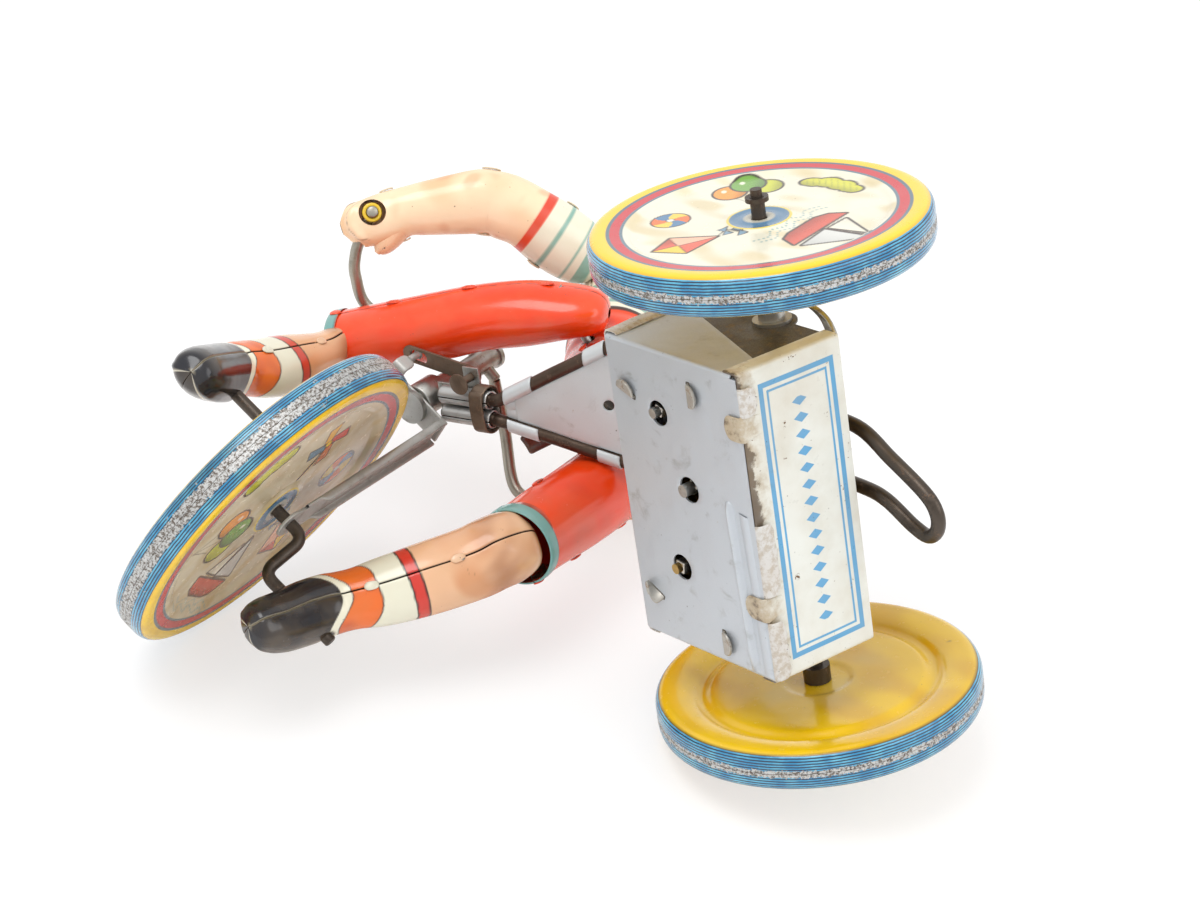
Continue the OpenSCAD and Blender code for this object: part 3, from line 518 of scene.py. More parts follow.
def boxPoints(c, low, high, count=12):
    # points round a rectangle with its corners kept, and their angles round c
    x0, y0, x1, y1 = low[0], low[1], high[0], high[1]
    s = np.linspace(0, 1, count, endpoint=False)[:, None]
    ring = np.array([[x1, y0], [x1, y1], [x0, y1], [x0, y0]], float)
    q = np.concatenate([ring[k] + s * (ring[(k + 1) % 4] - ring[k]) for k in range(4)])
    return q, np.arctan2(q[:, 1] - c[1], q[:, 0] - c[0])


# a pressed half: gap between the halves, rounding of the seam edge and the lip turned in behind it
seam = {"gap": 0.05, "edge": 0.45, "lip": 1.4, "inCuff": 1000}


def half(surface, line, upDir, start, colour, across=56, cuff=False, shape=None):
    # half of an oval tube, p = centre + a cos(t) u + b sin(t) v; line holds centre, half widths, marks
    if cuff:
        # the sheet's edge at the open end, turned over and back inside; marks there lie past inCuff
        way = unit(line[-1, :3] - line[-2, :3])
        extra = []
        for along, less in ((0.1, 0.08), (0.16, 0.25), (0.1, 0.42), (0, 0.5), (-1.5, 0.5), (-6, 0.6)):
            q = line[-1].copy()
            q[:3] += along * way
            q[3:5] -= less
            q[5] += seam["inCuff"] if along <= 0 else 0
            extra.append(q)
        line = np.vstack([line, extra])
    c, s = line[:, :3], np.maximum(line[:, 3:5], 0.02)
    t = unit(np.gradient(c, axis=0))
    if cuff:
        t[-6:] = t[-7]
    u = unit(upDir - (t @ upDir)[:, None] * t)
    v = np.cross(t, u)
    a = np.pi * (1 - np.cos(np.linspace(0, np.pi, across))) / 2
    x, y = s[:, :1] * np.cos(a), s[:, 1:] * np.sin(a)
    e = np.minimum(seam["edge"], s.min(1) * 0.35)[:, None]
    fall = np.clip(y / e, 0, 1)
    x = x - np.sign(np.cos(a)) * e * (1 - np.sqrt(1 - (1 - fall) ** 2))
    inX = np.maximum(s[:, :1] - e - np.minimum(seam["lip"], s[:, :1] * 0.4), 0.01)
    zero = np.zeros_like(inX)
    x = np.hstack([inX, x, -inX])
    y = np.hstack([zero, y, zero])
    deg = np.concatenate([[0], np.degrees(a), [180]]) + start
    sign = 1 if start == 0 else -1
    p = c[:, None] + sign * (x[..., None] * u[:, None] + (y + seam["gap"])[..., None] * v[:, None])
    around = np.broadcast_to(deg, x.shape)
    drop = None
    if shape is not None:
        p, drop = shape(p, line, around)
    marks = np.broadcast_to(line[:, None, 5:], x.shape + (line.shape[1] - 5,))
    nearSeam = inside(np.broadcast_to(y, x.shape) - 0.16, 0.2)
    surface.grid(p, flip=True, paint=colour(p, marks, around, nearSeam), drop=drop)
    return u


def seamTab(surface, at, along, out, size, lift, colour):
    # a small tab bent over a seam: a sheet with round ends, pressed down at its middle
    along, out = unit(along), unit(out)
    side = np.cross(out, along)
    x = np.linspace(-1, 1, 15)
    x, y = x[:, None, None], np.linspace(-1, 1, 7)[:, None]
    p = at + x * along * size[0] / 2 + roundEnd(np.abs(x), 3.2) * y * side * size[1] / 2
    thick(surface, p + (lift - 0.22 * np.abs(x) ** 3 - 0.1 * y ** 2) * out, 0.34, paint=colour)


# Camera, floor and light
table = {"up": unit([-0.2174, 0.9667, -0.1351]), "height": -73.7, "size": 3000.0}
cam = {"at": (-82.0, 275.6, -571.0), "right": (-0.980, -0.140, 0.139), "down": (0.071, -0.908, -0.413),
       "lens": 89.9}


def makeCamera():
    c = bpy.data.objects.new("camera", bpy.data.cameras.new("camera"))
    bpy.context.scene.collection.objects.link(c)
    x, z = unit(cam["right"]), unit(np.cross(cam["right"], cam["down"]))
    y = -unit(np.cross(z, x))
    m = np.eye(4)
    m[:3, 0], m[:3, 1], m[:3, 2], m[:3, 3] = x, y, -z, np.array(cam["at"]) * mm
    c.matrix_world = Matrix(m.tolist())
    c.data.lens, c.data.sensor_width = cam["lens"], 36
    c.data.clip_start, c.data.clip_end = 0.02, 20
    bpy.context.scene.camera = c


def softLight(name, at, target, size, watts):
    d = bpy.data.lights.new(name, "AREA")
    d.shape, d.size, d.energy = "DISK", size, watts
    o = bpy.data.objects.new(name, d)
    bpy.context.scene.collection.objects.link(o)
    z = unit(np.asarray(at, float) - target)
    x = unit(np.cross([0.3, 0.2, 1], z))
    m = np.eye(4)
    m[:3, 0], m[:3, 1], m[:3, 2], m[:3, 3] = x, np.cross(z, x), z, at
    o.matrix_world = Matrix(m.tolist())


# Finishes of the print and the metals
printed = lacquer("printed tin", lambda net, v: net.paint(), rough=0.2, wear=0.1, size=5, specks=0.5,
                  dents=0.16, coat=0.22)
printedWorn = lacquer("worn printed tin", lambda net, v: net.paint(), rough=0.28, wear=0.3, size=4,
                      specks=0.8, dents=0.4)
dullSteel = metal("dull steel", (0.46, 0.455, 0.43), rough=0.4, stain=0.4)
brownSteel = metal("browned steel", (0.075, 0.05, 0.036), rough=0.42, stain=0.5, tint=(0.09, 0.05, 0.03),
                   metallic=0.75)
darkWire = metal("dark wire", (0.085, 0.068, 0.055), rough=0.38, stain=0.45, tint=(0.12, 0.07, 0.04),
                 metallic=0.8)
greyWire = metal("grey wire", (0.36, 0.34, 0.29), rough=0.42, stain=0.3)
brightTin = metal("bright tin", (0.5, 0.5, 0.49), rough=0.4, stain=0.4, tint=(0.3, 0.25, 0.2), metallic=0.8)
galvanised = metal("grey tinplate", (0.5, 0.53, 0.565), rough=0.42, stain=0.16, tint=(0.4, 0.36, 0.3),
                   dents=0.7, metallic=0.4, specks=0.3)
# dark tin: real dark steel for the mainspring and saddle post, and painted shade on the side walls and
# round the lugs
darkTinAndShade = metal("dark tinplate and painted shade", (0.12, 0.11, 0.095), rough=0.5, stain=0.5, metallic=0.7)
palePlate = metal("pale plate", (0.56, 0.585, 0.6), rough=0.45, stain=0.22, tint=(0.4, 0.33, 0.26),
                  metallic=0.4)
brass = metal("dull brass", (0.46, 0.31, 0.11), rough=0.36, stain=0.35, tint=(0.3, 0.2, 0.1))
# near-black red-brown lacquer for the saddle: painted shade, the colour of the shaded red shorts above it
maroon = lacquer("maroon lacquer", (0.05, 0.012, 0.016), rough=0.22, wear=0.16, size=4)


def spread(c, s, marks, count):
    # lines of centres, half widths and marks, sampled evenly along the limb
    return smoothLine(np.column_stack([c, s, marks]), count)


def airbrush(p, base, dark, size, amount, seed=3):
    # base clouded with a darker colour where the smooth noise is high
    return over(base, amount * ramp(speckle(p, size, seed), -0.4, 1.4), dark)


# Thighs
thigh = {"length": 62.3, "cuff": 3.0, "handR": 5.4, "collarR": 3.3, "deepest": 7.5}
hips = {"left": riderPlace(rider["hipLeft"]), "right": riderPlace(rider["hipRight"])}
thighWay = {"left": unit([62.1, -1.8, 3]), "right": unit([22.3, 0.9, -54])}
riderSide = riderPlace([0, 1, 0]) - riderPlace([0, 0, 0])
thighMarks = np.array([-9.6, -9.1, -8.2, -5.6, 0, 10, 22, 36, 50, thigh["length"] - 3.9,
                       thigh["length"] - 3.4, thigh["length"] - 2.9,
                       thigh["length"] - 1, thigh["length"]])
# half widths across the rider and front to back, and how far the middle lies outwards
thighSizes = {
    "left": np.array([[1.2, 1.6], [3, 4.2], [4.2, 6], [5.6, 7.9], [6.6, 9.2], [8.0, 9.4], [8.2, 9.2],
                      [8.5, 9.2], [7.4, 9.4], [6.8, 9.4], [6.9, 9.6], [7.2, 9.9], [7.2, 9.9], [7.0, 9.7]]),
    "right": np.array([[1.2, 1.6], [3.4, 4.2], [5, 6], [6.6, 7.9], [8.2, 9.2], [9.6, 9.6], [10.3, 9.8],
                       [10.3, 9.8], [9.9, 9.9], [9.6, 9.9], [9.7, 10], [10, 10.2], [10, 10.2], [9.8, 10]]),
}
thighOut = {
    "left": np.array([0, 0.1, 0.3, 0.9, 1.7, 2.2, 2.2, 0.6, 0.1, -0.2, -0.3, -0.3, -0.4, -0.4]),
    "right": np.array([0, 0.2, 0.6, 1.4, 2.4, 3.2, 3.4, 3, 2.1, 1.7, 1.6, 1.6, 1.5, 1.5]),
}


def thighPrint(p, marks, around, nearSeam):
    # orange red with a teal cuff; the seams are dark and a little worn
    t = marks[..., 0]
    c = airbrush(p, ink["short"], linear(190, 40, 14), 14, 0.2)
    c = fill(c, thigh["length"] - thigh["cuff"] - t, ink["teal"] * 0.9)
    c = fill(c, np.abs(t - thigh["length"] + thigh["cuff"]) - 0.16, ink["line"])
    c = over(c, 0.9 * nearSeam * ramp(speckle(p, 2.5, 8), -0.9, 0.5), linear(70, 30, 22))
    # the sheet's edge turned in past inCuff is painted dark brown: painted shade inside the cuff
    return over(c, t > seam["inCuff"] - 100, linear(84, 50, 40))


def makeThigh(side):
    # centre = hip + mark * way + shift * outwards, with two half widths for each mark
    h, d = hips[side], thighWay[side]
    out = riderSide if side == "left" else -riderSide
    c = h + thighMarks[:, None] * d + thighOut[side][:, None] * out
    line = spread(c, thighSizes[side], thighMarks, 210)
    u = unit(riderSide - (riderSide @ d) * d)
    front = np.cross(d, u)
    # balls along the right hand, and along its collar in the bars' turns up to the stop
    grip = unit(hands["right"] - elbows["right"])
    balls = [(hands["right"] + k * grip, thigh["handR"]) for k in np.arange(-16, 8.5, 1.5)]
    for k in (0, 1.5, 3, 4.5):
        bars = Place(forkPlace.r @ turn(up, toy["barTurn"] + k), headPlace.o)
        for w in (-0.4, 0.2, 0.8):
            at = bars((w * barLine[7] + (1 - w) * barLine[8]) * [1, -1, 1])
            balls.append((at, thigh["collarR"]))

    def hollow(p, ln, around):
        # a soft hollow under the balls: depth = r - away^2 / (1.9 r) below each ball's middle
        deep = np.zeros(p.shape[:2])
        for at, r in balls:
            rel = p - at
            f = rel @ front
            away = np.maximum((rel ** 2).sum(-1) - f ** 2, 0)
            deep = np.maximum(deep, f + r - away / (1.9 * r))
        return p - np.minimum(deep, thigh["deepest"])[..., None] * front, None
    for name, start in (("upper", 0), ("lower", 180)):
        s = Surface()
        half(s, line, riderSide, start, thighPrint, cuff=True,
             shape=hollow if (side, name) == ("right", "upper") else None)
        s.build("thigh_%s_%s_skin" % (side, name), "thigh_" + side, printed, 40, "orange",
                ["thigh_%s_%s" % (side, name)])
    s = Surface()
    for t in (4, 24, 44.5):
        i = int(np.argmin(np.abs(line[:, 5] - t)))
        for k in (1, -1):
            seamTab(s, line[i, :3] + k * (line[i, 3] + 0.12) * u, d, k * u, (3.6, 1.7), lift=0.3,
                    colour=ink["short"] * 0.8)
    k = 1 if side == "left" else -1
    at = line[int(np.argmin(np.abs(line[:, 5] - thigh["length"] + 1.6)))]
    seamTab(s, at[:3] + k * (at[3] + 0.02) * u, d, k * u, (2.6, 2.2), lift=0.2, colour=ink["short"])
    s.build("thigh_%s_tabs" % side, "thigh_" + side, printedWorn, 50, "orange")


# Lower legs with their shoes
crankAngle = math.radians(crank["angle"])
crankArm = crank["r"] * np.array([math.sin(crankAngle), 0, math.cos(crankAngle)])
pedals = {"left": forkPlace(crankArm + [0, crank["pedal"], 0]),
          "right": forkPlace(-crankArm - [0, crank["pedal"], 0])}
shinWay = {"left": unit([0.247, 0.212, -0.946]), "right": unit([0.85, -0.035, -0.526])}
footTilt = {"left": 20, "right": 36}
crankLine = unit(forkPlace([0, 1, 0]) - forkPlace([0, 0, 0]))
legAlong = np.array([-58, -57.2, -55, -51, -46, -40, -28, -17, -10, -5, -1.6, 0, 0.6, 0.9, 1, 0.9])
legFoot = np.array([0, 0, 0, 0, -0.4, -0.8, -1.6, -2.4, -3, -2.2, 0.6, 4.6, 9, 13.5, 17, 18.6])
legSizes = {
    "left": np.array([[1.2, 1.1], [4.1, 3], [6.3, 4.4], [7, 5], [7.2, 5.3], [6.8, 6.2], [7, 7.7],
                      [6.4, 7.9], [6, 7.4], [6.2, 7.2], [6.4, 7.3], [6.3, 7.2], [5.9, 7], [5.2, 6.3],
                      [3.6, 4.6], [0.12, 0.15]]),
    "right": np.array([[1.2, 1.3], [4.1, 4.6], [6.5, 7.4], [7.6, 8.7], [7.6, 8.9], [7, 8.9], [7.2, 8.7],
                       [6.4, 8.1], [5.8, 7.2], [5.8, 7.4], [5.9, 7.5], [5.8, 7.2], [5.4, 7], [4.8, 6.3],
                       [3.4, 4.6], [0.12, 0.15]]),
}
# how far the middle of the leg lies to its left
legAside = {
    "left": np.array([-2.3, -2.3, -2.4, -2.5, -2.5, -2.6, -1.2, 0.6, 2.4, 3.2, 3.2, 3, 2.8, 2.6, 2.4, 2.4]),
    "right": np.array([0, 0, -0.2, -0.3, -0.5, -1, -0.7, 0, 0.9, 1.5, 1.0, 0, -0.8, -1.2, -1.4, -1.4]),
}


def legPrint(foot, shin, forward):
    def colour(p, marks, around, nearSeam):
        rel = p - foot
        x, f = rel @ shin, rel @ forward
        front = np.abs((around + 180) % 360 - 180)
        shake = 0.06 * speckle(p, 3, 5)
        c = airbrush(p, ink["flesh"], ink["blush"], 16, 0.75, 4)
        # painted shade: a darker brown band round the knee, broken up by noise
        c = over(c, 0.75 * bell(x, -46.5, 5) * ramp(speckle(p, 9, 61), -1.3, 0.9), linear(140, 88, 54))
        c = over(c, 0.3 * ramp(x, -56, -52), ink["blush"])
        scratches = inside(np.abs(speckle(p, 7, 21) - 1.15) - 0.015, 0.03)
        scratches = scratches * ramp(speckle(p, 11, 22), 0.5, 0.9)
        c = over(c, 0.5 * scratches, ink["line"])
        # bands: red stripe with black outlines, cream sock
        c = fill(c, -24.4 - x, ink["cream"] * 0.92)
        c = fill(c, np.abs(x + 25.9 + shake) - 1.7, ink["black"])
        c = fill(c, np.abs(x + 25.9 + shake) - 1.25, ink["red"])
        # saddle patch and shoe, whose upper edges drop from the front seam to the sides
        shoe = -8.8 + 5.6 * ramp(front, 5, 80) - 2.0 * ramp(front, 120, 175)
        top = -17.2 + 4.2 * ramp(front, 20, 110) + 4 * ramp(front, 120, 170)
        low = shoe - 2.6
        patch = np.maximum(top - x, x - low)
        c = fill(c, patch - 0.35, ink["black"])
        c = fill(c, patch, airbrush(p, ink["orange"], linear(190, 70, 24), 8, 0.6, 6))
        c = fill(c, low + 0.35 - x, ink["cream"])
        c = fill(c, shoe - x, linear(15, 18, 28))
        # sole: a light edge under the foot, dull cream inside it
        under = (x > -2) & (f > -7)
        sole = front - (128 - 6 * ramp(f, 12, 18))
        c = over(c, np.where(under, inside(-sole / 6), 0), linear(58, 52, 48))
        c = over(c, np.where(under, inside(np.abs(sole - 5) / 6 - 0.55), 0), linear(206, 200, 182))
        onShoe = inside(shoe - x)
        c = over(c, nearSeam * (1 - onShoe) * ramp(speckle(p, 2, 9), -2.2, -0.6), ink["black"])
        c = over(c, nearSeam * onShoe * (front < 90), linear(150, 142, 122))
        # a black disc round the crank wire where it passes through the foot: painted shade of the hole
        d = np.linalg.norm(np.cross(rel, crankLine), axis=-1)
        return over(c, inside(d - 2.1, 0.5), ink["black"])
    return colour


def makeLeg(side):
    # centre = pedal + mark * shin + foot * its way + aside * crank axis, with two half widths for each mark
    foot, shin = pedals[side], shinWay[side]
    forward = -unit(np.cross(shin, crankLine))
    tilt = math.radians(footTilt[side])
    way = shin * math.cos(tilt) + forward * math.sin(tilt)
    c = foot + legAlong[:, None] * shin + legFoot[:, None] * way + legAside[side][:, None] * crankLine
    line = spread(c, legSizes[side], legAlong, 260)

    def pressed(p, ln, around):
        # out from the middle line: a welt round the sole, a rounder knee and a crease at the ankle
        x = (p - foot) @ shin
        front = np.abs((around + 180) % 360 - 180)
        out = unit(p - ln[:, None, :3])
        welt = 0.35 * bell(front, 120, 9) * ramp(x, -3, 0)
        knee = 0.5 * bell(x, -45, 5) * bell(front, 0, 40)
        ankle = -0.35 * bell(x, -9.5, 1.2) * bell(front, 0, 60)
        return p + (welt + knee + ankle)[..., None] * out, None
    starts = {"outer": 0 if side == "left" else 180, "inner": 180 if side == "left" else 0}
    for name, start in starts.items():
        s = Surface()
        u = half(s, line, forward, start, legPrint(foot, shin, forward), across=60, shape=pressed)
        s.build("lower_leg_%s_%s_skin" % (side, name), "lower_leg_" + side, printed, 40, "flesh",
                ["lower_leg_%s_%s" % (side, name)])
    s = Surface()
    t = unit(np.gradient(line[:, :3], axis=0))
    # tabs: mark along the leg, size, side and tint; the last rows of the line, in the foot, are left out
    for mark, size, k, tint in ((-36, (3.4, 1.7), 1, ink["flesh"] * 0.9),
                                (-14.2, (3.2, 1.8), 1, ink["cream"] * 0.85),
                                (-47, (3, 1.5), -1, ink["flesh"] * 0.8),
                                (-20, (3.2, 1.6), -1, ink["cream"] * 0.85)):
        i = int(np.argmin(np.abs(line[:, 5] - mark) + (np.arange(len(line)) > 215) * 99))
        seamTab(s, line[i, :3] + k * (line[i, 3] + 0.1) * u[i], t[i], k * u[i], size, lift=0.3, colour=tint)
    s.build("lower_leg_%s_tabs" % side, "lower_leg_" + side, printedWorn, 50, "flesh")


# Arms
hands = {"left": barPlace([-4, 46.1, 81.8]), "right": barPlace([-4, -46.1, 81.8])}
shoulders = {"left": riderPlace(rider["shoulder"]),
             "right": riderPlace(np.multiply(rider["shoulder"], [1, -1, 1]))}
elbows = {"left": np.array([79.0, 40, 142]), "right": np.array([34.6, -45.9, 123.5])}
armSizes = np.array([[1.2, 1.2], [5.4, 4.4], [8.2, 6.4], [9.0, 6.8], [8.3, 6.6], [8.5, 6.3], [8.2, 6],
                     [8.2, 5.7], [6.9, 5], [6.3, 4.7], [6.6, 4.8], [6.2, 4.6], [5, 3.6], [1.2, 1]])
armDown = np.array([3.4, 3.6, 4.2, 4.3, 4.1, 5.0, 5.9, 4.9, 2.4, 1.6, 1.8, 1.7, 1.2, 1.2])
armBand = {"sleeve": 14.2, "red": (14.2, 16.6), "teal": ((8.6, 9.8), (-2.2, 0.6), (2.6, 3.2))}
# left side of the handlebar wire, from the stem to the grip
barLine = np.array([[0, 5, 84], [8.4, 17, 83.2], [12.8, 29.5, 77.8], [8.2, 37.4, 76.6], [4.2, 41.4, 77.6],
                    [0.2, 43.9, 79.4], [-2.5, 45.9, 81.8], [-5.2, 46.3, 81.6], [-8.1, 45.8, 79.6]])


def armPrint(hand, grip):
    def colour(p, marks, around, nearSeam):
        t = marks[..., 0]
        c = airbrush(p, linear(243, 214, 178), linear(226, 176, 130), 18, 0.7, 12)
        c = over(c, 0.5 * ramp(speckle(p, 9, 14), 0.6, 1.6), linear(214, 156, 116))
        c = fill(c, t - armBand["sleeve"], linear(226, 222, 200))
        for low, high in armBand["teal"]:
            c = fill(c, np.maximum(low - t, t - high), ink["shirtTeal"])
        c = fill(c, np.maximum(armBand["red"][0] - t, t - armBand["red"][1]), ink["shirtRed"])
        for k in (-2.4, 0, 2.4):
            line = np.abs((p - hand) @ grip[1] - k - 0.3 * speckle(p, 5, 2))
            c = over(c, 0.55 * inside(line - 0.12, 0.2) * ramp((p - hand) @ grip[0], 1.2, 3), ink["line"])
        return over(c, nearSeam * ramp(speckle(p, 2, 10), -1.6, 0.2), linear(86, 60, 46))
    return colour


def makeArm(side):
    # centre = shoulder to elbow to hand, lowered by armDown, with two half widths for each point
    a, b, c = shoulders[side], elbows[side], hands[side]
    u, v = unit(b - a), unit(c - b)
    lift = unit(b - (a + c) / 2)
    centre = np.array([a - 4.6 * u, a - 3.6 * u, a + u, a + 9 * u, a + 18 * u, b - 4.5 * u, b - 0.4 * lift,
                       b + 4.5 * v,
                       c - 16 * v, c - 10.5 * v, c - 6.6 * v, c - v, c + 4 * v, c + 7 * v])
    centre = centre - armDown[:, None] * lift
    marks = lengthAlong(centre) - 4.6
    line = spread(centre, armSizes, marks, 240)
    bar = barPlace(barLine * [1, 1 if side == "left" else -1, 1])
    end = unit(bar[-1] - bar[-2])
    room = [(bar[k], bar[k + 1], 3.4) for k in range(2, 7)]
    room += [(bar[7], bar[8] + 4 * end, 3.4), (bar[8] - 1.9 * end, bar[8] + 4 * end, 3.2)]

    def pressed(p, ln, around):
        # finger grooves, and a round opening for the wire: points inside its room move out to the rim
        rel = p - c
        out = unit(p - ln[:, None, :3] + 1e-9)
        fingers = 0.42 * np.cos((rel @ end) * 2 * np.pi / 2.6) * ramp(rel @ v, 1.5, 4.5)
        fingers = fingers * ramp(np.linalg.norm(rel, axis=-1), 9.8, 8)
        q = p + fingers[..., None] * out
        drop = np.zeros(p.shape[:2], bool)
        for a0, b0, r in room:
            d = b0 - a0
            s0 = np.clip((q - a0) @ d / (d @ d), 0, 1)
            near = a0 + s0[..., None] * d
            gap = np.linalg.norm(q - near, axis=-1)
            into = gap < r
            drop |= into
            q = np.where(into[..., None], near + (q - near) * (r / np.maximum(gap, 0.01))[..., None], q)
        return q, drop
    for name, start in (("upper", 0), ("lower", 180)):
        s = Surface()
        half(s, line, lift, start, armPrint(c, (v, end)), across=60, shape=pressed)
        s.build("arm_%s_%s_skin" % (side, name), "arm_" + side, printed, 40, "flesh",
                ["arm_%s_%s" % (side, name)])
    t = unit(np.gradient(line[:, :3], axis=0))
    wide = unit(lift - (t @ lift)[:, None] * t)
    s = Surface()
    for share, size in ((0.47, (4.6, 2.0)), (0.8, (3.4, 1.6)), (0.2, (3.4, 1.6))):
        i = int(share * len(line))
        for k in (1, -1):
            seamTab(s, line[i, :3] + k * (line[i, 3] + 0.1) * wide[i], t[i], k * wide[i], size, lift=0.3,
                    colour=linear(214, 196, 166))
    # thumb: a short pressed lobe beside the palm
    base, tip = c - 9.5 * v - lift * 4.2, c - 6.2 * v - lift * 11.4
    q = smoothLine([base, base * 0.45 + tip * 0.55 - 0.5 * v, tip], 24)
    tube(s, q, np.linspace(4.3, 2.3, 24) * roundEnd(np.linspace(0, 0.98, 24), 8), 20, first=v, bevel=0.3,
         paint=linear(232, 188, 150))
    s.build("arm_%s_tabs" % side, "arm_" + side, printedWorn, 50, "flesh")


# Body, head and saddle
bodyHeights = np.array([97, 98.4, 101, 105, 110, 116, 123, 130, 137, 144, 149, 153, 156, 160], float)
bodySizes = np.array([[7, 6], [9.6, 8.6], [11, 11], [11.5, 12.4], [11.6, 13.2], [12.6, 13.2], [14.2, 12.8],
                      [15.8, 12.4], [17.2, 12], [18.2, 11.4], [17.4, 10.4], [13, 9], [7.4, 6.8],
                      [5.6, 5.4]])
headHeights = np.array([0, 2, 4.5, 9, 14, 20, 27, 33, 38, 41.5, 44, 45], float)
headSizes = np.array([[5.2, 5], [6.4, 6.6], [9, 10], [12, 13], [13.4, 14.4], [14, 15], [14, 15], [13, 14.2],
                      [10.8, 12], [7.8, 9], [4, 5], [1.2, 1.6]])


def ellipse(y, z, c, r):
    # signed distance, near enough for small ovals: (|q / r| - 1) times the smaller radius
    return (np.hypot((y - c[0]) / r[0], (z - c[1]) / r[1]) - 1) * min(r)


def bodyPrint(p, marks, around, nearSeam):
    q = riderPlace.into(p)
    x, y, z = q[..., 0], q[..., 1], q[..., 2]
    c = airbrush(p, ink["short"], linear(178, 34, 16), 16, 0.35)
    c = fill(c, 122.5 - z, linear(228, 224, 202))
    for low in (126.5, 134, 141.5):
        c = fill(c, np.abs(z - low) - 0.8, ink["shirtTeal"])
    c = fill(c, np.abs(z - 122.4) - 0.9, linear(60, 34, 30))
    c = fill(c, np.abs(z - 149.5) - 1.3, ink["shirtRed"])
    c = fill(c, 153 - z, ink["flesh"])
    for k in (128.5, 136, 143.5):
        c = over(c, inside(ellipse(y, z, (0, k), (1.1, 1.1))) * (x > 0), ink["red"])
    c = over(c, inside(np.abs(y) - 0.18) * (x > 0) * inside(123 - z) * inside(z - 149), ink["line"] * 1.6)
    return over(c, nearSeam * ramp(speckle(p, 2.2, 17), -1.8, 0.3), linear(80, 54, 38))


def headPrint(p, marks, around, nearSeam):
    q = riderPlace.into(p)
    x, y, z = q[..., 0], q[..., 1], q[..., 2] - rider["neck"]
    front = x > 0
    c = airbrush(p, ink["flesh"], linear(220, 150, 104), 15, 0.4, 31)
    for s in (-1, 1):
        c = over(c, 0.6 * bell(y, 8 * s, 3.4) * bell(z, 14.5, 3) * front, linear(214, 92, 70))
        eye, pupil = (5.2 * s, 21.5), (5.2 * s, 21.4)
        c = over(c, inside(ellipse(y, z, eye, (2.7, 1.75))) * front, linear(240, 236, 226))
        c = over(c, inside(ellipse(y, z, pupil, (1.35, 1.5))) * front, linear(70, 104, 128))
        c = over(c, inside(ellipse(y, z, pupil, (0.7, 0.75))) * front, ink["black"])
        c = over(c, inside(ellipse(y, z, (5.2 * s - 0.5, 22.0), (0.32, 0.32))) * front,
                 linear(250, 250, 250))
        lid = np.abs(ellipse(y, z, eye, (2.9, 1.95))) - 0.16
        c = over(c, inside(np.maximum(lid, 21.6 - z)) * front, ink["line"])
        brow = np.maximum(np.abs(z - 25.6 + 0.05 * (y - 5.2 * s) ** 2) - 0.42, np.abs(y - 5.4 * s) - 2.9)
        c = over(c, inside(brow) * front, ink["hair"])
    c = over(c, 0.5 * inside(np.abs(ellipse(y, z, (0, 16.2), (1.9, 1.3))) - 0.14) * (z < 16) * front,
             linear(150, 84, 58))
    mouth = np.maximum(np.abs(z - 10.6 - 0.055 * y * y) - 0.5 * np.sqrt(np.clip(1 - (y / 3.9) ** 2, 0, 1)),
                       np.abs(y) - 3.9)
    c = over(c, inside(mouth) * front, linear(176, 44, 40))
    hairline = 29.5 + 1.2 * np.cos(y * 0.55) - 0.35 * np.maximum(np.abs(y) - 9, 0) ** 1.6
    back = np.maximum(8.5 + 0.9 * x, 6.5)
    hair = inside(np.where(front, hairline, back) - z)
    c = over(c, hair, ink["hair"])
    strands = inside(np.abs(np.sin(y * 1.9 + 1.4 * np.sin(z * 0.3) + x * 0.4)) - 0.16, 0.16)
    c = over(c, 0.55 * strands * hair, linear(52, 30, 16))
    return over(c, nearSeam * 0.8, linear(66, 42, 30))


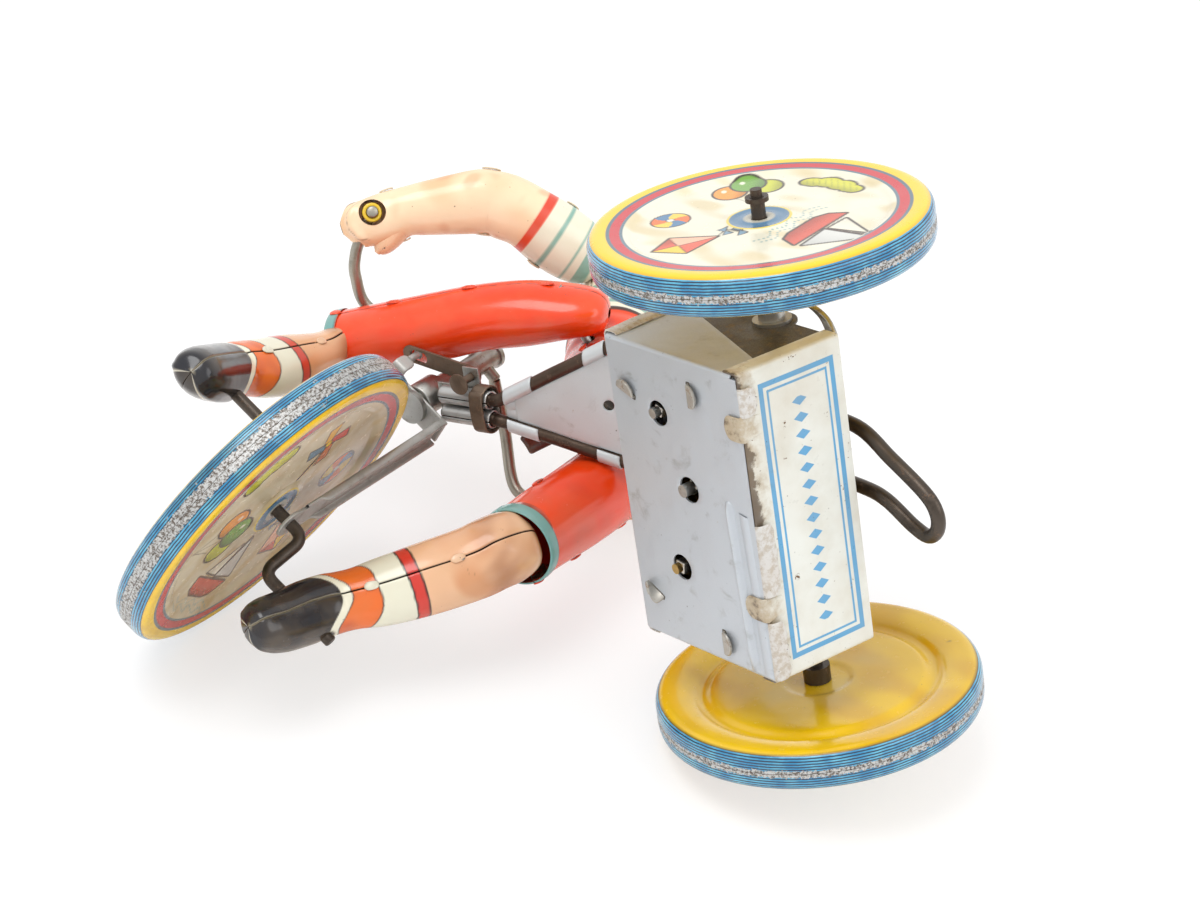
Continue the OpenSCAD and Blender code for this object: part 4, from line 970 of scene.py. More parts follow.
def makeBody():
    holeR = 2.0
    c = riderPlace(bodyHeights[:, None] * up)
    line = spread(c, bodySizes, bodyHeights, 230)

    def bodyShape(p, ln, around):
        # a hole at each hip for its rivet, a belt, and soft folds of the shorts over the hips
        q = riderPlace.into(p)
        drop = np.zeros(p.shape[:2], bool)
        for at in (rider["hipLeft"], rider["hipRight"]):
            d = np.stack([q[..., 0] - at[0], q[..., 2] - at[2]], -1)
            gap = np.linalg.norm(d, axis=-1)
            into = (gap < holeR) & (q[..., 1] * at[1] > 0)
            drop |= into
            move = d * (holeR / np.maximum(gap, 0.01) - 1)[..., None]
            q[..., 0] = np.where(into, q[..., 0] + move[..., 0], q[..., 0])
            q[..., 2] = np.where(into, q[..., 2] + move[..., 1], q[..., 2])
        z = q[..., 2]
        out = unit(q * [1, 1, 0] + 1e-9)
        folds = 0.25 * np.sin(z * 0.9 + around * 0.05) * bell(z, 113, 6)
        return riderPlace(q + (0.5 * bell(z, 122.4, 1.1) + folds)[..., None] * out), drop
    for name, start in (("front", 180), ("back", 0)):
        s = Surface()
        half(s, line, riderSide, start, bodyPrint, across=80, shape=bodyShape)
        s.build("body_%s_skin" % name, "chassis", printed, 40, "orange", ["body_" + name])
    c = riderPlace(np.column_stack([np.where(headHeights < 3, 0, 1.2), 0 * headHeights,
                                    rider["neck"] + headHeights]))
    line = spread(c, headSizes, headHeights, 230)

    def headShape(p, ln, around):
        # the face and hair are sums of bells pushed out from the middle line
        q = riderPlace.into(p)
        x, y, z = q[..., 0], q[..., 1], q[..., 2] - rider["neck"]
        out = unit(p - ln[:, None, :3] + 1e-9)
        front = (x > 0) * 1.0
        nose = 2.3 * bell(y, 0, 1.7) * bell(z, 17.4, 2.6) + 0.9 * bell(y, 0, 1.4) * bell(z, 21.5, 3)
        socket = -0.8 * bell(np.abs(y), 5.2, 3.2) * bell(z, 21.8, 2.4)
        cheek = 0.7 * bell(np.abs(y), 7.5, 3.4) * bell(z, 13.8, 3.4)
        lips = 0.6 * bell(y, 0, 3.6) * bell(z, 10.6, 1.2) + 0.9 * bell(y, 0, 4) * bell(z, 6, 2.2)
        ear = 1.5 * bell(x, 0.6, 2.2) * bell(z, 19, 3.6) - 0.9 * bell(x, 0.9, 1.0) * bell(z, 19, 1.9)
        ear = ear * ramp(np.abs(y), 10.5, 12.5)
        locks = 0.22 * np.sin(y * 1.9 + 1.4 * np.sin(z * 0.3) + x * 0.4) * ramp(z, 29, 32)
        return p + (front * (nose + socket + cheek + lips) + ear + locks)[..., None] * out, None
    for name, start in (("front", 180), ("back", 0)):
        s = Surface()
        half(s, line, riderSide, start, headPrint, across=90, shape=headShape)
        s.build("head_%s_skin" % name, "chassis", printed, 40, "flesh", ["head_" + name])
    s = Surface()
    # tabs over the seams of body and head, red and flesh coloured
    for k in (1, -1):
        for z, wide, colour in ((104, 12.2, ink["short"] * 0.75), (118, 13.1, ink["short"] * 0.75),
                                (131, 16.2, ink["cream"] * 0.8)):
            seamTab(s, riderPlace([0, k * (wide + 0.1), z]), up, riderSide * k, (3.6, 1.8), lift=0.3,
                    colour=colour)
        seamTab(s, riderPlace([1.2, k * 14.1, 190]), up, riderSide * k, (3, 1.6), lift=0.25,
                colour=ink["hair"])
    s.build("body_tabs", "chassis", printedWorn, 50, "orange")


saddle = {"long": 15.0, "wide": 10.0, "height": 94.2, "nose": 13.2}


def makeSaddle():
    s = Surface()
    # seat: an oval dish with a rolled edge, from rows of radius and height, and a strap to the front
    a = circle(96)
    rows = [(0.02, -2.62), (0.25, -2.55), (0.5, -2.28), (0.75, -1.75), (0.92, -0.95), (0.985, -0.3),
            (1.0, 0.2), (0.985, 0.55), (0.95, 0.68), (0.8, 0.66), (0.5, 0.62), (0.02, 0.6)]
    p = np.array([joined(saddle["long"] * r * np.cos(a), saddle["wide"] * r * np.sin(a),
                         saddle["height"] + z) for r, z in rows])
    s.grid(riderPlace(p), loopV=True)
    u = np.linspace(0, 1, 26)
    y = np.linspace(-1, 1, 7)
    u = u[:, None]
    z = saddle["height"] - 0.2 - 0.8 * u ** 3 + 0.3 * (1 - y ** 2)
    q = joined(9 + saddle["nose"] * u, (2.4 - 0.5 * u ** 2) * y, z)
    thick(s, riderPlace(q), 1.6)
    # the seat and its strap take the near-black red-brown lacquer, painted shade
    s.build("saddle_seat", "chassis", maroon, 40, "maroon", ["saddle"])


# Wheels
def wheelFinish(name, wear, grime):
    # paint carries the printed faces; its alpha is 0 on the tread, where lines follow the seam
    m, net, shader = material(name)
    v = net.place()
    paint = net.node("Attribute", attribute_name="paint")
    s = net.node("SeparateXYZ", {0: net.node("UVMap", uv_map="map").outputs[0]}).outputs[1]
    shaky = net.plus(s, net.times(net.minus(net.noise(v, 0.35, 2), 0.5), 0.22))
    wave = net.math("SINE", net.times(shaky, 2 * math.pi / 0.66))
    light = net.mix(net.step(net.noise(v, 0.22, 3), 0.3, 0.8), tuple(linear(30, 128, 176)),
                    tuple(linear(104, 186, 212)))
    lines = net.mix(net.step(wave, -0.5, 0.15), tuple(ink["navy"]), light)
    face = net.math("GREATER_THAN", paint.outputs["Alpha"], 0.5)
    rough = net.minus(net.noise(v, 1.0, 5, 0.75), 0.5)
    centre = net.fall(net.plus(s, net.times(rough, 2.8)), 0.45 + wear * 2.2, 0.6 + wear * 2.2)
    flakes = net.times(net.use(wearGroup, Place=v, Size=2.2, Amount=0.1 + wear * 0.3),
                       net.step(s, 2.4, 4.0, (1.0, 0.15)))
    worn = net.times(net.math("MAXIMUM", centre, flakes), net.minus(1.0, face), clamp=True)
    bare = net.mix(net.step(net.noise(v, 1.4, 4, 0.8), 0.42, 0.54), (0.13, 0.105, 0.085),
                   (0.55, 0.55, 0.54))
    chips = net.times(net.use(wearGroup, Place=v, Size=2.4, Amount=wear * 0.28), face)
    dark = net.use(speckGroup, Place=v, Density=0.45 + grime * 0.4)
    cloud = net.times(net.step(net.noise(v, 0.07, 4, 0.6), 0.42, 0.75), grime)
    c = net.mix(face, lines, paint.outputs["Color"])
    c = net.mix(cloud, c, net.mix(0.75, c, (0.5, 0.36, 0.2), "MULTIPLY"))
    c = net.mix(worn, c, bare)
    c = net.mix(chips, c, (0.16, 0.08, 0.04))
    c = net.mix(net.times(dark, 0.8), c, soil)
    height = net.use(grainGroup, Place=v, Peel=0.4, Dents=0.35)
    height = net.plus(height, net.times(net.times(wave, net.minus(1.0, face)), 0.04))
    height = net.minus(height, net.times(net.math("MAXIMUM", worn, chips), 0.12))
    finishShader(net, shader, Base_Color=c,
                 Roughness=net.blend(worn, net.step(net.noise(v, 0.4, 3), 0.2, 0.9, (0.16, 0.32)), 0.55),
                 Metallic=net.times(worn, 0.65), Coat_Weight=net.times(net.minus(1.0, worn), 0.35),
                 Coat_Roughness=0.1, Normal=net.bump(height, 0.6))
    return m


wheelPaint = wheelFinish("printed wheel", 0.15, 0.1)
wheelPaintWorn = wheelFinish("worn front wheel", 0.55, 0.75)


def polygonDistance(q, pts):
    # signed distance to a closed polygon, negative inside
    pts = np.asarray(pts, float)
    d = np.full(q.shape[:-1], 1e9)
    flip = np.zeros(q.shape[:-1], bool)
    for a, b in zip(pts, np.roll(pts, -1, 0)):
        e, w = b - a, q - a
        h = np.clip((w @ e) / (e @ e), 0, 1)
        d = np.minimum(d, np.linalg.norm(w - h[..., None] * e, axis=-1))
        cross = e[0] * w[..., 1] - e[1] * w[..., 0]
        fromBelow, toAbove = a[1] <= q[..., 1], b[1] > q[..., 1]
        flip ^= (fromBelow & toAbove & (cross > 0)) | (~fromBelow & ~toAbove & (cross < 0))
    return np.where(flip, -d, d)


def strokeDistance(q, pts, width):
    # signed distance to a smooth stroke: nearest of 24 points, less half the width
    pts = smoothLine(np.asarray(pts, float), 24)
    return np.min([np.linalg.norm(q - a, axis=-1) for a in pts], axis=0) - width / 2


def drawn(c, d, colour, outline=0.42, shade=None):
    # a printed form with signed distance d, its dark outline and a darker side
    c = fill(c, d - outline, ink["line"])
    if shade is not None:
        colour = over(np.broadcast_to(colour, c.shape), shade, np.asarray(colour) * 0.62)
    return over(c, inside(d), colour)


def boat(c, q):
    c = drawn(c, polygonDistance(q, [(0.3, -0.6), (6.6, -0.2), (0.8, 7.6)]), linear(212, 212, 206),
              shade=ramp(q[..., 0], 0, 6) * 0.5)
    c = drawn(c, polygonDistance(q, [(-0.5, -0.4), (-4.6, -0.2), (-0.6, 6)]), linear(232, 226, 206),
              shade=ramp(-q[..., 0], 0, 5) * 0.4)
    c = drawn(c, strokeDistance(q, [(0, -1.6), (0.05, 3), (0.1, 8.2)], 0.3), ink["brown"], 0.1)
    hull = polygonDistance(q, [(-6.4, -1.4), (6.8, -1.4), (5.2, -4.2), (3, -4.9), (-3.4, -4.9),
                               (-5.4, -3.8)])
    c = drawn(c, hull, linear(206, 84, 62), shade=ramp(-q[..., 1], 2, 5))
    for k in (0, 1):
        wave = [(-7.5 + 2.1 * i, -6.2 - 1.3 * k + 0.55 * (-1) ** i) for i in range(8)]
        c = over(c, 0.8 * inside(strokeDistance(q, wave, 0.4)), linear(96, 150, 158))
    return c


def kite(c, q):
    c = drawn(c, polygonDistance(q, [(0, 6), (4.2, 1.6), (0, -5.4), (-4.2, 1.6)]), linear(220, 92, 66),
              shade=ramp(q[..., 0], 0, 3))
    c = drawn(c, polygonDistance(q, [(0, 6), (-4.2, 1.6), (0, 1.6)]), linear(236, 196, 60), 0.2)
    c = drawn(c, polygonDistance(q, [(0, 1.6), (4.2, 1.6), (0, -5.4)]), linear(236, 180, 150), 0.2)
    c = fill(c, strokeDistance(q, [(0, -5.4), (1.8, -7.4), (-0.6, -9.2), (1.4, -11)], 0.35), ink["line"])
    for at in ((1.4, -7.2), (-0.3, -9.2)):
        c = drawn(c, polygonDistance(q - at, [(-1.4, 0.8), (-1.4, -0.8), (1.4, 0.8), (1.4, -0.8)]),
                  linear(120, 150, 170), 0.2)
    return c


def balloons(c, q):
    for x, y, r, colour in ((-3.2, 1.4, 2.7, linear(236, 150, 40)), (3.0, 2.2, 2.6, linear(196, 200, 40)),
                            (0.1, 4.4, 2.8, linear(110, 160, 60))):
        c = fill(c, strokeDistance(q, [(x, y - r), (x * 0.5, -3), (0.2, -6.6)], 0.22), ink["line"])
        d = ellipse(q[..., 0], q[..., 1], (x, y), (r, r * 1.16))
        c = drawn(c, d, colour, shade=ramp(q[..., 0] - x - 0.3 * (q[..., 1] - y), 0.2, r))
        c = over(c, 0.8 * inside(ellipse(q[..., 0], q[..., 1], (x - 0.9, y + 1), (0.45, 0.7))),
                 linear(250, 246, 226))
    return c


def ball(c, q):
    r, a = np.hypot(q[..., 0], q[..., 1]), np.arctan2(q[..., 1], q[..., 0])
    c = fill(c, r - 4.6, ink["line"])
    sector = np.floor((a + 0.5 * r / 4.2 + math.pi) / (math.pi / 3)).astype(int) % 3
    for k, colour in enumerate((linear(230, 110, 40), linear(236, 200, 70), linear(70, 120, 160))):
        c = over(c, inside(r - 4.2) * (sector == k), colour)
    return drawn(c, r - 0.8, linear(236, 232, 214), 0.25)


def pinwheel(c, q):
    c = drawn(c, strokeDistance(q, [(0, 0), (0.3, -4), (0, -8.4)], 0.5), ink["brown"], 0.15)
    for k, colour in enumerate((linear(204, 64, 50), linear(228, 170, 50), linear(96, 130, 150),
                                linear(214, 120, 60))):
        t = math.radians(90 * k + 20)
        u, w = np.array([math.cos(t), math.sin(t)]), np.array([-math.sin(t), math.cos(t)])
        vane = [0.01 * u, 5.4 * u, 4.2 * u + 2.6 * w, 1.6 * w + 0.6 * u]
        c = drawn(c, polygonDistance(q, vane), colour, 0.3)
    return drawn(c, np.hypot(q[..., 0], q[..., 1]) - 0.7, ink["yellow"], 0.25)


def bush(c, q):
    clumps = ((-4, 0, 2.2), (-1.4, 0.9, 2.5), (1.6, 0.6, 2.5), (4.2, -0.2, 2.0))
    d = np.min([ellipse(q[..., 0], q[..., 1], (x, y), (r, r * 0.8)) for x, y, r in clumps], 0)
    c = drawn(c, np.maximum(d, -1.6 - q[..., 1]), linear(206, 204, 44), shade=ramp(-q[..., 1], -1, 1.4))
    leaves = inside(np.abs(np.sin(q[..., 0] * 2.4 + q[..., 1] * 2)) - 0.18, 0.2)
    return over(c, 0.6 * leaves * inside(d + 0.5), linear(70, 100, 40))


def printFace(radius, motifs, field):
    # rings by radius; each motif has its drawing, angle and distance on the wheel, its own turn and size
    hub = {"steel": 3.4, "blue": 6.6, "gold": 7.2}
    rings = {"slate": radius - 4.5, "red": radius - 5.3, "thin": radius - 7.5, "field": radius - 8.2}

    def colour(x, y):
        r = np.hypot(x, y)
        q = np.stack([x, y, 0 * x], -1)
        c = airbrush(q, field, field * linear(236, 218, 180), 12, 0.7, 40)
        for draw, angle, out, turned, size in motifs:
            a = math.radians(angle)
            dx, dy = x - out * math.cos(a), y - out * math.sin(a)
            along, across = math.cos(math.radians(turned)), math.sin(math.radians(turned))
            local = np.stack([dx * along + dy * across, dy * along - dx * across], -1) / size
            near = np.hypot(local[..., 0], local[..., 1]) < 13
            if near.any():
                c[near] = draw(c[near], local[near])
        c = fill(c, rings["field"] - r, ink["slate"])
        c = fill(c, rings["thin"] - r, ink["ring"])
        c = fill(c, rings["red"] - r, ink["slate"] * 0.8)
        c = fill(c, rings["slate"] - r, ink["yellow"])
        c = over(c, 0.5 * ramp(r, radius - 1.6, radius - 0.95), linear(190, 140, 40))
        c = fill(c, r - hub["gold"], linear(226, 200, 90))
        c = fill(c, r - hub["blue"], linear(92, 128, 158))
        return fill(c, r - hub["steel"], linear(190, 186, 170))
    return colour, [hub["blue"], hub["gold"], *rings.values()]


def plainFace(radius):
    # yellow lacquer with scuffs, a paler middle and a dark rim
    def colour(x, y):
        r = np.hypot(x, y)
        q = np.stack([x, y, 0 * x], -1)
        c = airbrush(q, linear(228, 187, 10), linear(198, 148, 22), 22, 0.55, 50)
        c = over(c, 0.25 * bell(r, 9, 9) * ramp(speckle(q, 16, 52), -0.6, 1.2), linear(214, 200, 140))
        tick = inside(np.abs(speckle(q, 2.6, 53) - 2.0) - 0.1, 0.3) * bell(r, radius - 5, 1.6)
        tick = tick * ramp(speckle(q, 12, 54), -0.2, 0.6)
        c = over(c, tick, ink["line"])
        return over(c, 0.9 * ramp(r, radius - 1.3, radius - 0.95), ink["line"])
    return colour, []


def makeWheel(name, node, body, place, radius, printedSide, face, bore, finish, slotName):
    # one dish: a profile of radius and height over the wheel's middle, smoothed and turned round the axle;
    # its rows stand closer at the edges of the print
    w = toy["tread"] / 2
    if printedSide:
        shape = [(bore, w - 1.4), (bore + 0.1, w - 1.0), (bore + 0.5, w - 0.75), (3.4, w - 0.75),
                 (4.2, w - 0.95), (5.4, w - 1.0), (6.4, w - 0.8), (7.0, w - 0.78), (7.8, w - 1.05),
                 (9, w - 1.28), (10, w - 1.3), (radius * 0.5, w - 1.3), (radius * 0.7, w - 1.3),
                 (radius * 0.735, w - 1.2), (radius * 0.755, w - 0.75), (radius * 0.78, w - 0.4)]
    else:
        shape = [(bore, w - 2.2), (bore + 0.2, w - 1.85), (6.4, w - 1.8), (7.4, w - 1.65), (8.6, w - 1.3),
                 (10, w - 1.28), (radius * 0.5, w - 1.28), (radius * 0.635, w - 1.3),
                 (radius * 0.665, w - 1.7), (radius * 0.69, w - 2.25), (radius * 0.715, w - 2.4),
                 (radius * 0.74, w - 2.0), (radius * 0.765, w - 1.2), (radius * 0.8, w - 0.6)]
    shape += [(radius * 0.85, w - 0.2), (radius - 3.6, w - 0.02), (radius - 2.4, w - 0.03),
              (radius - 1.5, w - 0.28), (radius - 0.8, w - 0.72), (radius - 0.32, w - 1.35),
              (radius - 0.08, w - 2.1), (radius - 0.01, w - 3.0), (radius - 0.01, 0.7),
              (radius - 0.02, 0.1), (radius - 0.06, 0.04)]
    q = smoothLine(shape, 900)
    s = lengthAlong(q)
    top = int(np.argmax(q[:, 0] > radius - 0.95))
    paintOf, edges = face
    step = 0.36 if printedSide else 0.55
    stops = [*np.arange(0, s[top], step), *np.linspace(s[top], s[-1], 22)]
    for r in edges:
        at = np.interp(r, q[:top, 0], s[:top])
        stops += [at - 0.1, at + 0.1]
    stops = np.unique(np.round(np.clip(stops, 0, s[-1]), 3))
    profile = np.stack([np.interp(stops, s, q[:, k]) for k in (0, 1)], -1)
    sides = 640 if printedSide else 360
    p = lathe(profile, sides)
    colour = paintOf(p[..., 0], p[..., 1])
    alpha = np.broadcast_to((profile[:, 0] < radius - 0.93) & (stops < s[top] + 0.01), p.shape[:2])
    # map place: way round the wheel, and distance from the seam between the two dishes
    uv = joined(circle(sides)[:, None] * radius, np.abs(s[-1] - stops))
    surface = Surface()
    surface.grid(place(p), loopU=True, paint=np.concatenate([colour, alpha[..., None]], -1), uv=uv,
                 flip=True)
    surface.build(name, body, finish, 40, slotName, [node])


axle = {"rearBore": 1.62, "frontBore": 1.56}


def makeWheels():
    cream, aged = linear(226, 222, 202), linear(206, 194, 164)
    rearR, frontR, rear = toy["rearR"], toy["frontR"], "rear_axle_set"
    rearPrint = printFace(rearR, [(boat, 148, 18.8, 60, 1.5), (kite, 38, 18.5, -65, 1.3),
                                  (balloons, -78, 18.5, 190, 1.35), (bush, -128, 23.5, 145, 1.35),
                                  (ball, -12, 20.5, 0, 1.0)], cream)
    frontPrint = printFace(frontR, [(pinwheel, 155, 21, 60, 1.35), (ball, 92, 22, 10, 1.3),
                                    (kite, 30, 21, -70, 1.35), (boat, -32, 21, 50, 1.5),
                                    (balloons, -95, 20.5, -10, 1.5), (bush, -150, 27.5, 120, 1.3)], aged)
    for side, k in (("left", 1), ("right", -1)):
        middle = [0, k * toy["track"] / 2, rearR]
        outer, inner = Place(turn([1, 0, 0], -90 * k), middle), Place(turn([1, 0, 0], 90 * k), middle)
        front = Place(forkPlace.r @ turn([1, 0, 0], -90 * k), forkPlace.o)
        makeWheel("wheel_%s_print" % side, "rear_wheel_%s_outer" % side, rear, outer, rearR, True,
                  rearPrint, axle["rearBore"], wheelPaint, "wheel_print")
        makeWheel("wheel_%s_plain" % side, "rear_wheel_%s_inner" % side, rear, inner, rearR, False,
                  plainFace(rearR), axle["rearBore"], wheelPaint, "wheel_yellow")
        makeWheel("front_wheel_%s_print" % side, "front_wheel_" + side, "front_wheel", front, frontR, True,
                  frontPrint, axle["frontBore"], wheelPaintWorn, "wheel_print")


# Motor box
# the motor's own axes: sides, height and rim of the tray, its lower edge, the rear plate's lean
box = {"x0": -20.0, "x1": 27.0, "y": 36.85, "z0": -26.6, "rim": 1.4, "sheet": 0.6, "edge": -17.9,
       "lean": 1.9, "height": 28.0}
arbors = {"b": np.array([4, 4.7]), "a": np.array([4 + 18.4 * 0.396, 4.7 + 18.4 * 0.918]),
          "c": np.array([4 + 22.4 * 0.314, 4.7 - 22.4 * 0.949])}
# holes of the bottom sheet: middle, the field's ends and the radius
holes = (((10.6, 21.4), 13, 36, 3.0), ((3.3, 4.7), -6, 13, 3.1), ((9.9, -16.2), -36, -6, 3.1))
# tabs along the lower rear edge: middle, half length and reach; tray tabs go over the cream plate,
# plate tabs over the tray
trayTabs = ((30.4, 3.1, 3.3), (-7.1, 8.4, 3.4), (-29.1, 6.9, 3.2))
plateTabs = ((24.3, 2.7, 4.4), (-18.8, 2.6, 5.3))
# lugs: place, direction in degrees and form
lugs = ((21, 24.4, 20, "bent"), (21, -25.2, 25, "twisted"), (-1.5, 28.6, 90, "bent"),
        (-2.2, -31.4, 90, "bent"))
endSteel = metal("bright arbor ends", (0.46, 0.43, 0.38), rough=0.35, stain=0.4, tint=(0.16, 0.11, 0.07))
lugSteel = metal("lug steel", (0.42, 0.4, 0.36), rough=0.45, stain=0.45, tint=(0.26, 0.18, 0.12),
                 metallic=0.6)


def motorAxes(net, v):
    # y, and the motor's own height z = z' cos(tilt) - x' sin(tilt), in millimetres
    x, y, z = net.node("SeparateXYZ", {0: v}).outputs
    tilt = math.radians(toy["tilt"])
    z = net.minus(z, toy["rearR"])
    return y, net.minus(net.times(z, math.cos(tilt)), net.times(x, math.sin(tilt)))


# frame lines on the cream plate: middle height, half sizes, inset and half width of each line
plate = {"z": -11.0, "long": 32.4, "high": 9.6, "lines": ((0.0, 0.62), (1.7, 0.28)), "row": 27.0}


def creamPrint(net, v, bare=False):
    # worn cream print with thin blue frame lines and a row of blue lozenges, browned along the lower edge
    y, high = motorAxes(net, v)
    base = net.mix(net.step(net.noise(v, 0.1, 4, 0.6), 0.35, 0.8), (0.7, 0.71, 0.66), (0.62, 0.61, 0.54))
    rough = net.minus(net.noise(v, 0.3, 6, 0.65), 0.5)
    stain = net.fall(net.plus(net.minus(high, box["z0"]), net.times(rough, 16.0)), -1.0, 5.5)
    c = base
    if not bare:
        long = net.math("ABSOLUTE", y)
        fromMiddle = net.math("ABSOLUTE", net.minus(high, plate["z"]))
        for size, wide in plate["lines"]:
            d = net.math("MAXIMUM", net.minus(long, plate["long"] - size),
                         net.minus(fromMiddle, plate["high"] - size))
            line = net.fall(net.math("ABSOLUTE", d), wide - 0.07, wide + 0.07)
            c = net.mix(net.times(line, 0.92), c, tuple(ink["frame"]))
        # a row of lozenges along the middle
        cell = net.minus(net.math("PINGPONG", net.plus(y, 60.0), 4.0), 2.0)
        lozenge = net.plus(net.math("ABSOLUTE", cell), net.times(fromMiddle, 0.62))
        small = net.minus(long, plate["row"])
        spots = net.times(net.fall(lozenge, 1.15, 1.3), net.fall(small, -0.2, 0.0))
        c = net.mix(net.times(spots, 0.9), c, tuple(ink["frame"]))
    c = net.mix(net.times(stain, 0.85), c, net.mix(0.85, c, (0.5, 0.34, 0.17), "MULTIPLY"))
    between = 0.0 if bare else net.times(net.step(y, -0.2, 1.0), net.fall(y, 18.2, 19.4))
    # the plate darkens to near black along its foot, a little higher between the two middle tabs
    deep = net.plus(net.minus(high, box["z0"]), net.times(rough, 6.0))
    deep = net.minus(deep, net.times(between, 1.5))
    deep = net.fall(deep, -1.6 if bare else 0.1, -0.6 if bare else 1.1)
    return net.mix(net.times(deep, 0.85), c, (0.05, 0.03, 0.02))


creamTin = lacquer("cream printed tin", creamPrint, rough=0.34, wear=0.22, size=3.4, specks=0.6, dents=0.8,
                   under=(0.17, 0.1, 0.055), coat=0.15)
creamTabTin = lacquer("cream tab tin", lambda net, v: creamPrint(net, v, True), rough=0.36, wear=0.22,
                      size=1.6, specks=0.8, dents=0.6,
                      under=(0.2, 0.12, 0.06), coat=0.1)
tabTin = lacquer("rubbed grey tin", lambda net, v: net.mix(net.step(net.noise(v, 0.7, 5, 0.7), 0.42, 0.62),
                                                           (0.6, 0.59, 0.57), (0.46, 0.41, 0.35)),
                 rough=0.4, wear=0.2, size=1.1, specks=0.8, dents=0.6, under=(0.16, 0.09, 0.05), coat=0.05)


def squareEnd(name, body, at, z, size, turned):
    # the squared end of an arbor with chamfered edges and a shallow centre
    s = Surface()
    t = circle(48)
    wide = size / np.maximum(np.maximum(np.abs(np.cos(t)), np.abs(np.sin(t))), 0.74)
    rows = ((1.0, 6.0), (1.0, 0.25), (0.94, 0.08), (0.86, 0.0), (0.5, -0.12), (0.34, -0.1), (0.3, 0.12),
            (0.02, 0.2))
    p = np.array([joined(w * wide * np.cos(t), w * wide * np.sin(t), z + h) for w, h in rows])
    s.grid(motorPlace(p @ turn(up, turned).T + [at[0], at[1], 0]), loopV=True)
    s.build(name, body, endSteel, 40, "steel")


